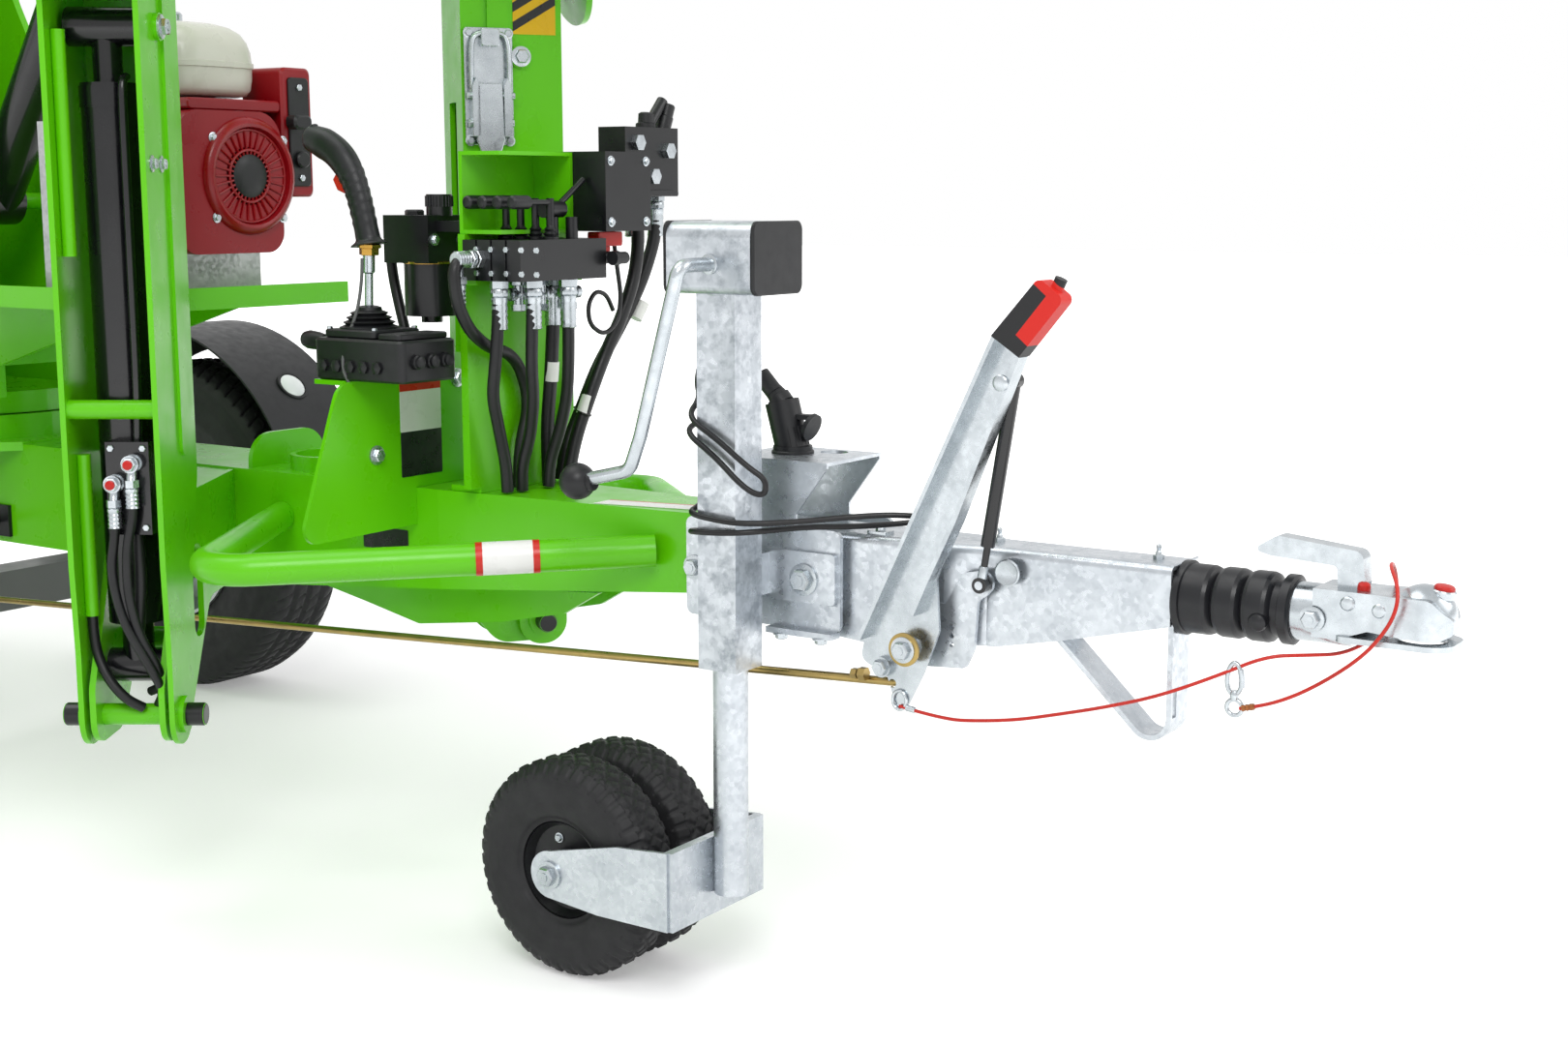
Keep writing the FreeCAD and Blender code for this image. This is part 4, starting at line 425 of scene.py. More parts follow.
def smooth(points, steps=8):
    """Line through a chain of points, each span blending three of them by (1-u)²/2, 1/2+u-u² and u²/2."""
    chain = np.asarray(points, float)
    chain = np.vstack([chain[:1], chain, chain[-1:]])
    u = np.linspace(0, 1, steps, endpoint=False)[None, :, None]
    first, middle, last = (chain[k:len(chain) - 2 + k, None, :] for k in range(3))
    line = (1 - u) ** 2 / 2 * first + (0.5 + u - u ** 2) * middle + u ** 2 / 2 * last
    return np.vstack([line.reshape(-1, 3), chain[-1:]])


def rounded(low, high, corner):
    """Outline of a rectangle from low to high whose corners are quarter circles of the radius corner."""
    low, high = np.asarray(low, float), np.asarray(high, float)
    middle, half = (low + high) / 2, (high - low) / 2 - corner
    t = np.linspace(0, math.pi / 2, 5)[None] + np.arange(4)[:, None] * math.pi / 2
    sign = np.array([(1, 1), (-1, 1), (-1, -1), (1, -1)])[:, None]
    outline = middle + sign * half + corner * np.stack([np.cos(t), np.sin(t)], -1)
    return outline.reshape(-1, 2)


def plate(outline, low, high, axis="y", edge=0.5):
    """Flat part: the outline carried from low to high along an axis, drawn in by edge at both faces."""
    outline = np.asarray(outline, float)
    middle = (outline.min(0) + outline.max(0)) / 2
    reach = np.abs(outline - middle).max(0)
    inner = middle + (outline - middle) * (1 - edge / reach)
    step = edge if high > low else -edge
    place = "xyz".index(axis)
    rings = [np.insert(shape, place, level, axis=1)
             for shape, level in ((inner, low), (outline, low + step), (outline, high - step), (inner, high))]
    return shell(rings)


def hex_bolt(at, axis, across, washer=True):
    """Hexagon head with a chamfered top on a plain washer; across is the width over its flats."""
    corner = across / math.sqrt(3)
    at, unit = np.asarray(at, float), square_to(axis)[0]
    lift = across * 0.13 if washer else 0.0
    head = [(0, corner), (across * 0.32, corner), (across * 0.42, corner * 0.86)]
    tip = [(0, across * 0.28), (across * 0.46, across * 0.28)]
    parts = [turned(at + unit * lift, axis, head, 6), turned(at + unit * lift, axis, tip, 20)]
    if washer:
        disc = [(-0.4, across * 0.8), (across * 0.12, across * 0.8), (lift, across * 0.76)]
        parts.append(turned(at, axis, disc))
    return parts


def grease_nipple(at, axis):
    """Hexagon base, waist and ball tip, turned."""
    at, unit = np.asarray(at, float), square_to(axis)[0]
    tip = [(0, 3.6), (3, 3.4), (5, 2.2), (7, 2.4), (8.5, 3.1), (10.5, 2.8), (12, 1.2)]
    return [turned(at, axis, [(-0.5, 6.2), (4.5, 6.2), (5.2, 5.4)], 6), turned(at + unit * 5, axis, tip, 16)]


def crimp(at, axis, bore, length):
    """Swaged hose ferrule: a sleeve with four pressed waists, from at along the axis."""
    step = length / 10
    ridges = [(0, bore + 1.6), (1, bore + 2.6)]
    ridges += [(1.5 + step * k, bore + (2.6 if k % 2 else 1.7)) for k in range(1, 9)]
    return turned(at, axis, ridges + [(length - 1, bore + 2.6), (length, bore + 1.2)], 20)


def hose_end(at, axis, bore, reach):
    """Swivel nut, neck and ferrule of a hose, from the port along the axis."""
    unit = square_to(axis)[0]
    at = np.asarray(at, float)
    nut = bore + 4.2
    neck = [(0, bore + 2.6), (1.5, bore + 3.4), (5, bore + 3.4), (6, bore + 1)]
    return [turned(at, axis, [(0, nut), (9, nut), (10, nut - 1)], 6),
            turned(at + unit * 10, axis, neck, 20),
            turned(at + unit * 11, axis, [(0, nut - 0.8), (8, nut - 0.8), (9, nut - 2)], 6),
            crimp(at + unit * 20, axis, bore, reach - 20)]


def at_place(parts, x, y, z, heading):
    """Turns parts about the upright axis by a heading and carries them to a place."""
    angle = math.radians(heading)
    turn = np.array([(math.cos(angle), math.sin(angle), 0), (-math.sin(angle), math.cos(angle), 0), UP])
    return [(points @ turn + (x, y, z), faces) for points, faces in parts]


def flattened(parts):
    """One list of parts from nested ones."""
    flat = []
    for part in parts:
        if isinstance(part, list):
            flat += flattened(part)
        else:
            flat.append(part)
    return flat


def piece(name, body, finish, parts, sharp=32.0):
    """Joins parts, in millimetres, to one mesh that rides on a body; edges over the angle stay sharp."""
    points, faces, base = [], [], 0
    for some, sides in flattened(parts):
        points.append(some)
        faces += [[base + k for k in side] for side in sides]
        base += len(some)
    mesh = bpy.data.meshes.new(name)
    mesh.from_pydata((np.vstack(points) * MM).tolist(), [], faces)
    mesh.update()
    mesh.shade_smooth()
    mesh.set_sharp_from_angle(angle=math.radians(sharp))
    mesh.materials.append(finish)
    holder = bpy.data.objects.new(name, mesh)
    bpy.context.scene.collection.objects.link(holder)
    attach(holder, body)
    return holder


def cord_curve(name, points, radius, finish):
    """Open smooth spline with the route's points as its control points, as round as the cord."""
    curve = bpy.data.curves.new(name, "CURVE")
    curve.dimensions = "3D"
    spline = curve.splines.new("NURBS")
    spline.points.add(len(points) - 1)
    spline.points.foreach_set("co", np.c_[np.array(points) * MM, np.ones(len(points))].ravel())
    spline.order_u = 3
    spline.use_endpoint_u = True
    curve.resolution_u = 8
    curve.bevel_resolution = 3
    curve.use_fill_caps = True
    line = bpy.data.objects.new(name + "_line", curve)
    bpy.context.scene.collection.objects.link(line)
    bare = bpy.data.meshes.new_from_object(line)
    path = np.empty(len(bare.vertices) * 3)
    bare.vertices.foreach_get("co", path)
    bpy.data.meshes.remove(bare)
    line.name = name
    curve.bevel_depth = radius * MM
    curve.materials.append(finish)
    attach(line, "chassis")
    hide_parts(name.replace("_cord", "_cable"))
    return line, path.reshape(-1, 3) / MM


# Cords, with the route's points in millimetres
MAST_ROUTE = [
    (1404.4, 0, 744.6), (1372, -8, 776), (1350, -45, 768), (1372, -88, 742), (1400, -118, 724),
    (1406, -153, 706), (1450, -156, 684), (1494, -156, 654), (1516, -149, 640), (1513, -149, 620),
    (1490, -156, 628), (1448, -157, 664), (1404, -154, 688), (1398, -120, 698), (1390, -88, 686),
    (1398, -80, 640), (1396, -96, 606), (1404, -128, 598), (1407, -154, 593), (1450, -158, 589),
    (1486, -154, 587), (1530, -116, 588), (1572, -76, 592), (1612, -46, 595), (1640, -30, 594),
    (1654, -10, 590), (1640, 4, 584), (1608, -20, 580), (1568, -56, 578), (1528, -90, 579),
    (1492, -150, 577), (1452, -159, 574), (1407, -157, 572), (1401, -122, 568), (1402, -92, 556),
    (1401, -63.2, 550)]
BREAKAWAY_ROUTE = [
    (1650, -75.3, 379), (1712, -80, 373), (1760, -82, 379), (1806, -81, 387), (1848, -78, 398),
    (1904, -72, 413), (1965, -66, 433), (2029, -58, 463), (2076, -50, 488), (2112, -26, 489),
    (2140, 10, 487), (2166, 50, 506), (2178, 54, 550), (2182, 24, 585), (2188, -12, 591),
    (2208, -42, 572), (2208, -51, 546), (2192, -53, 518), (2172, -52, 496), (2145, -54, 474),
    (2112, -55, 452), (2077, -56, 436), (2052, -57, 430)]


def snap_hook(strand, end):
    """Wire link swept round an oval over the strand, on a swivel and a ring that holds the cord's end."""
    x, y, z = strand
    low = end[2]
    t = np.linspace(0, 2 * math.pi, 36, endpoint=False)
    middle = (z + 6 + low + 14) / 2
    half = (z + 6 - low - 14) / 2
    link = np.stack([x + 8.0 * np.cos(t) * (1 - 0.12 * np.sin(t)), np.full(36, y),
                     middle + half * np.sin(t)], -1)
    ring = np.stack([x + 1 + 8.5 * np.cos(t), np.full(36, y), low + 8.5 * np.sin(t)], -1)
    gate = [(x + 8, y, middle - half * 0.5), (x + 8.4, y, middle), (x + 6.5, y, middle + half * 0.62)]
    return [swept(link, 2.5, closed=True), swept(ring, 2.4, closed=True), swept(gate, 3.2),
            turned((x + 0.5, y, low + 8), UP, [(0, 4.0), (2, 4.6), (8, 4.6), (10, 3.4)], 16)]


mast_cord = cord_curve("mast_cord", MAST_ROUTE, 3.5, BLACK_SHEATH)[0]
red_cord, red_path = cord_curve("breakaway_cord", BREAKAWAY_ROUTE, 2.0, RED_SHEATH)
# The hook grips the strand where it passes x = 2046, and the crimp ends 2 mm short of the cord's end
on_strand = red_path[np.argmin(np.abs(red_path[:len(red_path) // 2, 0] - 2046))]
cord_end = red_path[-1]
hook = piece("breakaway_hook", "chassis", PLATE,
             snap_hook(on_strand, (cord_end[0] - 8, cord_end[1], cord_end[2])))
last = cord_end - red_path[-4]
sleeve = piece("breakaway_crimp", "chassis", BROWN_CRIMP, [
    turned(cord_end - last / np.linalg.norm(last) * 17, last,
           [(0, 2.3), (1, 3.4), (5, 3.7), (6, 3.0), (9, 3.7), (10, 3.0), (14, 3.6), (15, 2.3)], 16)])


def band(value, width):
    """1 inside a groove of the half width about each whole number, falling to 0 over a third of it."""
    away = np.abs(value - np.round(value))
    return np.clip((width - away) / (width / 3) + 1, 0, 1) * (away < width * 4 / 3)


def diamond_tread(turn, across):
    """Jockey tyre: diamond blocks on the crown, lugs on the shoulders and a ring groove between them.

    The crown's grooves run where u + v/2 or u - v/2 is a whole number. u counts 34 blocks round the tyre, and
    v goes up by one for every 13 mm across."""
    u, v = turn * 34 / (2 * math.pi), across / 13.0
    crown = np.maximum(band(u + v / 2, 0.12), band(u - v / 2, 0.12)) * (np.abs(across) < 23)
    lugs = band(turn * 44 / (2 * math.pi), 0.16) * (np.abs(across) > 24) * (np.abs(across) < 36)
    ring = band((np.abs(across) - 24.0) / 60.0, 0.02)
    return 2.4 * np.maximum(np.maximum(crown, lugs), ring)


def road_tread(turn, across):
    """Road tyre: three straight grooves round the crown and 72 sipes, which slant one pitch in 45 mm."""
    rings = np.maximum(band(across / 200.0, 0.018), band((np.abs(across) - 34.0) / 200.0, 0.018))
    sipes = band(turn * 72 / (2 * math.pi) + across / 45.0, 0.10) * (np.abs(across) > 8)
    return 5.0 * np.maximum(rings, 0.8 * sipes) * (np.abs(across) < 72)


def treaded_tyre(centre, half, pattern, steps, depth_from):
    """Tyre round the Y axis: the half profile of (radius, across) mirrored, lowered by the tread's pattern.

    The pattern cuts only where the profile's radius is over depth_from."""
    half = np.asarray(half, float)
    loop = np.vstack([half * (1, -1), half[::-1]])
    length = np.r_[0, np.cumsum(np.linalg.norm(np.diff(loop, axis=0), axis=1))]
    along = np.linspace(0, length[-1], steps[1])
    radius, across = np.interp(along, length, loop[:, 0]), np.interp(along, length, loop[:, 1])
    turn = np.linspace(0, 2 * math.pi, steps[0], endpoint=False)[:, None]
    cut = pattern(turn, across[None]) * (radius[None] > depth_from)
    reach = radius[None] - cut
    x, z = centre[0] + reach * np.sin(turn), centre[2] + reach * np.cos(turn)
    y = np.broadcast_to(centre[1] + across[None], reach.shape)
    return shell(np.stack([x, y, z], -1), closed=True)


JOCKEY_HALF = [(62, 29), (66, 30), (70, 34), (88, 38), (98, 38.4), (110, 38), (124, 35), (134, 26), (138, 17),
               (138, 0)]
pair = [treaded_tyre((JOCKEY_X, JOCKEY_Y + side * JOCKEY_SPREAD, JOCKEY_R), JOCKEY_HALF, diamond_tread,
                     (560, 84), 118) for side in (-1, 1)]
tyres = piece("jockey_treaded_tyres", "jockey_wheels", RUBBER, pair, 50.0)
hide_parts("jockey_tyres")
ROAD_HALF = [(178, 74), (186, 78), (196, 83), (238, 90), (276, 89), (300, 82), (314, 70), (320, 52), (320, 0)]
for side, wheel in ((1, "left"), (-1, "right")):
    road = piece("road_tyre_" + wheel, "wheel_" + wheel, RUBBER, [
        treaded_tyre((AXLE_X, side * HALF_TRACK, WHEEL_R), ROAD_HALF, road_tread, (720, 90), 292)], 50.0)
    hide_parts("tyre_" + wheel)

# Drawbar: bolts, nipples, weld beads and the socket bracket's small parts
piece("drawbar_bolts", "chassis", PLATE, [
    hex_bolt((1514, -68.8, 512), RIGHT, 24), hex_bolt((1348, -61.8, 509), RIGHT, 19),
    hex_bolt((1348, 61.8, 509), LEFT, 19), hex_bolt((1514, 61.8, 512), LEFT, 24),
    [hex_bolt((x, y, 444), DOWN, 13) for x in (1482, 1538) for y in (-69, 69)],
    grease_nipple((1734, 5, 567.6), UP), grease_nipple((1931, 2, 567.6), UP),
    plate(rounded((1578, -34), (1606, -14), 4), 567.6, 572, "z"),
    turned((1592, -24, 572), UP, [(0, 6), (4, 6), (5, 5)], 6),
    turned((1771, -45.6, 543), RIGHT, [(-0.4, 15.5), (1.2, 15.5), (2.0, 14.0), (1.2, 12.0), (0.8, 2.0)], 36)])
circle = np.linspace(0, 2 * math.pi, 40, endpoint=False)


def bead(start, stop, count, radius, wave):
    """Weld bead from start to stop, whose radius swells by a wave of the sine of 2.2 for each step."""
    return swept(np.linspace(start, stop, count), radius + wave * np.sin(np.arange(count) * 2.2))


piece("drawbar_weld_beads", "chassis", ZINC, [
    bead((1470.5, -66, 494), (1470.5, -66, 537), 12, 2.4, 0.5),
    bead((1452, -61.8, 484), (1556, -61.8, 484), 24, 1.8, 0.4),
    bead((1402, -60, 573), (1538, -60, 573), 30, 2.0, 0.4),
    swept([(MAST_X + 27.4 * math.cos(a), JOCKEY_Y + 27.4 * math.sin(a), 848.6) for a in circle], 1.8,
          closed=True),
    bead((1962.6, -34, 568), (1962.6, 34, 568), 18, 1.6, 0.0)])

# Jockey: end caps of the mast's head, ball and collar of the crank, axle and rim bolts
piece("mast_end_caps", "chassis", BLACK_PLASTIC, [
    plate(rounded((-170.6, 848.4), (-71.4, 931.4), 9), face, end, "x", 1.6)
    for face, end in ((1508, 1513.5), (1391, 1386.0))])
ball = np.linspace(0.16, math.pi - 0.16, 20)
piece("crank_ball", "chassis", BLACK_PLASTIC, [
    turned((1307, -233, 632), (-1, 0, -0.03), np.c_[-21.6 * np.cos(ball), 21.6 * np.sin(ball)], 36),
    turned((1332, -233, 633), (-1, 0, -0.03), [(0, 8.8), (1, 10.4), (6, 10.8), (9, 10.2)], 24)])
piece("mast_guide_collar", "chassis", PLATE, [
    turned((1452, -170, 883), RIGHT, [(-0.4, 11.6), (1.6, 11.6), (2.2, 10.4)], 28)])
piece("jockey_axle_bolt", "jockey_swivel_body", PLATE, [
    hex_bolt((JOCKEY_X, JOCKEY_Y - 97.5, JOCKEY_R), RIGHT, 22),
    hex_bolt((JOCKEY_X, JOCKEY_Y + 97.5, JOCKEY_R), LEFT, 22)])
piece("jockey_rim_bolts", "jockey_wheels", PLATE, [
    hex_bolt((JOCKEY_X + 38 * math.cos(a), JOCKEY_Y + side * JOCKEY_SPREAD - 14, JOCKEY_R + 38 * math.sin(a)),
             RIGHT, 8)
    for side in (-1, 1) for a in np.linspace(0.4, 0.4 + 2 * math.pi, 5)[:-1]])

# Handbrake: pivot bolt, bush, eye rivets, shackle, rod end and the strut's pale fitting
piece("brake_pivot_bolt", "chassis", PLATE, [
    hex_bolt((1664, -91.5, 450), RIGHT, 19), hex_bolt((1628, -80.6, 423), RIGHT, 17, False),
    turned((1746, -57.0, 529), RIGHT, [(-1, 7.4), (3.0, 7.4), (4.2, 6.2), (4.8, 3.0)], 24),
    turned((1783, -92.6, 760), RIGHT, [(-3, 9.0), (1.4, 9.0), (2.6, 7.6), (3.2, 4.0)], 24),
    turned((1746, -60, 533), (0.18, 0, 1), [(0, 5.4), (16, 5.4), (18, 4.4)], 20),
    turned((1699, -72.6, 560), RIGHT, [(-1, 4.6), (0.8, 4.6), (1.4, 3.4)], 20)])
piece("brake_pivot_washer", "chassis", YELLOW_PLATE, [
    turned((1664, -89.8, 450), RIGHT, [(-1.5, 19.5), (1.4, 19.5), (1.8, 18.6)], 36),
    turned((1606, -76, 411), (-0.98, 0, -0.03), [(0, 8.2), (9, 8.2), (10, 7.2)], 6),
    turned((1594, -76, 410), (-0.98, 0, -0.03), [(0, 6.6), (7, 6.6), (8, 5.8)], 6)])
shackle = np.stack([1650 + 9 * np.cos(circle), np.full(40, -75.3), 386 + 11 * np.sin(circle)], -1)
piece("brake_tail_shackle", "chassis", PLATE, [
    swept(shackle, 2.0, closed=True),
    turned((1659, -75.3, 378.5), (1, -0.08, -0.10), [(0, 2.4), (1, 3.6), (12, 3.6), (13, 2.4)], 16)])

# Coupling: bolts, rivets and cap plate, two red plugs, and the bellows' clamps
piece("coupling_fasteners", "chassis", PLATE, [
    hex_bolt((2117, -33.0, 529), RIGHT, 17), hex_bolt((2117, 33.0, 529), LEFT, 17),
    [turned((x, side * -31.0, z), (0, side * -1.0, 0), [(-1.5, 7.6), (1.2, 7.6), (2.8, 6.0), (3.4, 2.6)], 24)
     for x, z in ((2153, 549), (2186, 545)) for side in (-1, 1)],
    turned((2240, 0, 566), (0.15, 0, 1), [(-6, 13), (1, 13), (2.4, 12)], 30)])
piece("coupling_red_plugs", "chassis", RED_PLASTIC, [
    turned((2241, 0, 568.4), (0.15, 0, 1), [(-3, 10.5), (2.4, 10.5), (4.2, 9), (5, 5)], 28),
    turned((2163, -12.2, 562), (0.1, -0.2, 1), [(-2, 6.5), (3, 6.8), (6, 6.0), (7.5, 3.5)], 20)])
piece("bellows_clamp", "chassis", BELLOWS, [
    turned((1962.6, 0, 530), FORWARD, [(0, 39.5), (1, 40.8), (8, 40.8), (9, 39)], 44),
    turned((2078, 0, 530), FORWARD, [(0, 33), (2, 37.5), (11, 37.5), (13, 34)], 44),
    turned((2060, -34, 520), (0.1, -1, -0.1), [(-6, 9), (2, 10.5), (6, 9), (8.5, 5), (9.2, 1.5)], 24)])

# Tow plug: ribs of the grip, which leans back, and the tail's ribbed relief
lean = np.array((-16.0, 0.0, 57.0)) / 59.2
ribs = []
for a in np.linspace(0, 2 * math.pi, 19)[:-1]:
    out = np.array((math.cos(a), math.sin(a), 0.28 * math.cos(a)))
    foot = np.array((1452.0, 0.0, 657.0)) + 19.2 * out
    ribs.append(swept([foot, foot + lean * 12, foot + lean * 24], 1.7, 8))
ribs.append(turned((1434, 0, 715), np.array((-31.0, 0.0, 31.0)) / 43.8, [
    (0, 13), (3, 14.5), (4, 12.5), (9, 12.0), (10, 10.6), (11, 11.6), (14, 11.2), (15, 9.8), (16, 10.6),
    (20, 10.0), (21, 8.6), (22, 9.4), (27, 8.6), (28, 7.2), (34, 6.2)], 26))
piece("tow_plug_ribs", "chassis", BLACK_PLASTIC, ribs)
piece("socket_gaskets", "chassis", BLACK_PLASTIC, [
    turned((1452, 0, 651), UP, [(-0.4, 26), (2.6, 26), (4, 24.5), (4, 21)], 36)])

# Hose ends and adaptors under the bank, at the hand pump and at the filter; NUT is a port nut's profile
NUT = [(0, 11), (9, 11), (10, 9.5)]
ends = [hose_end((1086, -50, 852), DOWN, 8, 62), hose_end((1060, -86, 852), DOWN, 8, 62),
        hose_end((1100, 2, 852), DOWN, 8, 62), hose_end((1054, 26, 852), DOWN, 9, 62),
        hose_end((1040, -99.5, 880), RIGHT, 8, 44), hose_end((1056, 246, 961), DOWN, 9, 58),
        hose_end((1062, 188, 961), DOWN, 9, 58), hose_end((871, -60, 905), (-1, 0, 0), 7, 26)]
crosses = []
for x, y in ((1060, -50), (1072, -20), (1078, 32)):
    crosses += [turned((x, y, 853), DOWN, [(0, 10.5), (7, 10.5), (8, 9)], 6),
                turned((x, y, 845), DOWN, [(0, 7), (24, 7)], 20),
                turned((x, y - 17, 834), LEFT, [(0, 6.2), (1, 8.4), (9, 8.4), (10, 7), (24, 7), (25, 8.4),
                                                (33, 8.4), (34, 6.2)], 20),
                turned((x, y, 821), DOWN, [(0, 9.4), (8, 9.4), (9, 8)], 6)]
elbow = smooth([(1026, -100, 880), (1026, -118, 880), (1026, -124, 874), (1026, -124, 856)])
crosses += [swept(elbow, 7.5), turned((1026, -101, 880), RIGHT, [(0, 11.5), (8, 11.5), (9, 10)], 6),
            turned((1026, -124, 858), DOWN, NUT, 6), crimp((1026, -124, 848), DOWN, 7, 28)]
for y in (188, 246):
    crosses += [turned((1059, y, 985), DOWN, NUT, 6), turned((1059, y, 976), DOWN, [(0, 7.5), (16, 7.5)], 20)]
crosses += [turned((1082, y, z), FORWARD, [(-0.5, 11.5), (8, 11.5), (9, 10)], 6)
            for y, z in ((172, 1030), (206, 985), (240, 1020))]
piece("hose_fittings", "chassis", PLATE, ends + crosses)

# Valve bank, box, cover and pump: screws, plugs, solenoid stubs, caps and the red connector
small = [hex_bolt((1036.5 + PORT_PITCH * k, -100, z), RIGHT, 7, False) for k in range(5) for z in (862, 892)]
small += [hex_bolt((1125, y, z), FORWARD, 8) for y in (62, 136) for z in (925, 1004)]
small += [hex_bolt((902, y, z), FORWARD, 16) for y, z in ((1, 715), (-154, 625))]
small += [hex_bolt((949, y, 903), FORWARD, 10) for y in (-85, -35)]
piece("station_screws", "chassis", PLATE, small)
ports = [PORT_X + PORT_PITCH * k for k in range(5)]
piece("station_black_parts", "chassis", BLACK_PLASTIC, [
    [turned((x, 70, 878), LEFT, [(-1, 9.5), (10, 9.5), (12, 8), (26, 8), (28, 6)], 24) for x in ports],
    [turned((x, -25, 903), UP, [(0, 10), (4, 10), (5, 7.5), (8, 9), (11, 6.5), (14, 8), (17, 5.5), (20, 4.6)],
            24) for x in ports[:4]],
    [turned((x, -98, 951), RIGHT, [(-31, 6.5), (-29, 8.6), (-4, 8.9), (0, 8.2), (2.2, 6), (3, 2.4)], 24)
     for x in ports[:4]],
    turned((1059, 258, 1044), (0.1, 0.3, 1), [(0, 11), (24, 11), (26, 9.6), (40, 9.6), (42, 8)], 26),
    turned((1059, 222, 1050), (0, 0.1, 1), [(0, 14), (6, 14), (8, 11), (20, 11), (22, 8)], 26),
    plate(rounded((154, 958), (258, 966), 3), 1030, 1088, "x")])
piece("red_connector", "chassis", RED_PLASTIC, [
    plate(rounded((62, 893), (112, 912), 2.5), 1084, 1104, "x", 1.0),
    plate(rounded((70, 886), (90, 893.6), 2), 1087, 1101, "x", 1.0)])


def tie_loop(first, second, hoses, grip):
    """Loop round two hoses: middle + wide·cos^0.7·across + grip·sin^0.7·over, with the sign of each kept."""
    across = (second - first) / np.linalg.norm(second - first)
    over = np.cross(hoses, across)
    over /= np.linalg.norm(over)
    wide = np.linalg.norm(second - first) / 2 + grip
    flat_cos, flat_sin = (np.sign(wave) * np.abs(wave) ** 0.7 for wave in (np.cos(circle), np.sin(circle)))
    return (first + second) / 2 + wide * flat_cos[:, None] * across + grip * flat_sin[:, None] * over


piece("hose_tie", "chassis", BLACK_SHEATH, [
    swept(tie_loop(np.array((1053.6, 86.4, 668.0)), np.array((1034.0, 104.0, 670.0)), (0.1, 0.45, 1.0), 10.4),
          1.5, 8, closed=True)])
tags = [turned((x, y, z), axis, [(0, 9.3), (26, 9.3)], 24)
        for x, y, z, axis in ((1059, 212, 812, (-0.15, -0.6, -1)), (1055, 95, 690, (-0.1, -0.45, -1)),
                              (1052, 25, 742, (-0.1, 0, -1)))]
piece("hose_tags", "chassis", WHITE_VINYL, tags)

# Filter: brass ring and plug, ribs round the vent cap and a hexagon plug
piece("filter_brass_line", "chassis", BRASS, [
    turned((918, FILTER_Y, 871), UP, [(0, 36.5), (2.6, 36.5), (3.2, 35)], 44),
    turned((936, FILTER_Y, 934), UP, [(-1, 8), (6, 8), (7, 7)], 6)])
piece("filter_vent_ribs", "chassis", BLACK_PLASTIC, [
    [swept([(936 + 17.2 * math.cos(a), FILTER_Y + 17.2 * math.sin(a), z) for z in (945, 952, 959)], 1.3, 6)
     for a in np.linspace(0, 2 * math.pi, 25)[:-1]],
    turned((891, FILTER_Y, 934), UP, [(-1, 13), (5, 13), (7, 11), (7, 6)], 6)])

# Joystick: console with its plugs, folded boot, shaft, shaped grip, trigger, side lever and thin cable
spine = smooth([(x, STICK_Y, z) for x, z in ((897, 896), (895, 908), (888, 936), (881, 960), (872, 982),
                                             (858, 1003), (838, 1019), (814, 1029), (792, 1034))], 6)
thick = np.interp(np.linspace(0, 1, len(spine)), [0, 0.03, 0.07, 0.12, 0.2, 0.45, 0.62, 0.8, 0.92, 0.98, 1],
                  [20, 26, 25, 17.5, 16.5, 17.5, 20, 20.5, 17, 12, 5])
# Finger ripples along the grip's lower half
thick[12:30] += 0.7 * np.sin(np.arange(18) * 2.1)
boot = [(-1, 38), (3, 38), (6, 30), (9, 34), (12, 26), (15, 30), (18, 22), (21, 25), (24, 17), (28, 16),
        (30, 10)]
knob = [(0, 6), (2, 10), (14, 12), (30, 12.5), (38, 10), (42, 5), (43, 1.5)]
grip = piece("joystick_station", "chassis", BLACK_PLASTIC, [
    swept(spine, thick, 26, flat=0.84),
    plate(rounded((841, -200), (999, -100), 9), 725.3, 779, "z", 3.0),
    plate(rounded((852, -192), (944, -108), 7), 779, 790, "z", 2.0),
    plate(rounded((950, -194), (990, -106), 5), 779, 787, "z", 1.5),
    [turned((999, -176 + 26 * k, 752), FORWARD, [(-1, 9.5), (5, 9.5), (6, 7.5), (10, 7.5), (11, 5)], 24)
     for k in range(3)],
    [turned((860 + 24 * k, -200, 744), RIGHT, [(-1, 8.5), (4, 8.5), (5, 6), (6, 3)], 6) for k in range(5)],
    turned((893, STICK_Y, 789), UP, boot, 40), turned((812, STICK_Y, 768.4), (-1, 0, 0.08), knob, 26),
    [turned((804 + 17 * k, STICK_Y, 1047 - 5 * k), (-0.3, 0, 1), [(-6, 5.5), (2, 5.5), (3.2, 4)], 20)
     for k in range(2)]])
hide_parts("joystick_console")
piece("joystick_brass", "chassis", BRASS, [
    turned((896.4, STICK_Y, 884), (0.03, 0, 1), [(-1, 10), (0, 13), (8, 13), (9, 16), (13, 16), (14, 12)],
           6)])
shaft = [(0, 9), (6, 9), (7, 5.5), (48, 5.5), (50, 8), (72, 8), (74, 6)]
piece("joystick_metal", "chassis", PLATE, [
    swept([(846, STICK_Y, 765), (826, STICK_Y, 767), (806, STICK_Y, 769)], 4.5),
    turned((893, STICK_Y, 812), (0.04, 0, 1), shaft, 24),
    [hex_bolt((x, y, 790), UP, 7, False) for x in (858, 938) for y in (-186, -114)]])
piece("joystick_trigger", "chassis", RED_PLASTIC, [
    plate([(850, 990), (866, 972), (862, 962), (850, 966), (842, 980)], -158, -142, "y", 2.0)])
cable = smooth([(902, -168, 880), (904, -172, 850), (898, -176, 810), (890, -190, 775), (896, -204, 744),
                (900, -196, 722)], 8)
piece("joystick_thin_cable", "chassis", GREY_COAT, [swept(cable, 2.2, 10)])

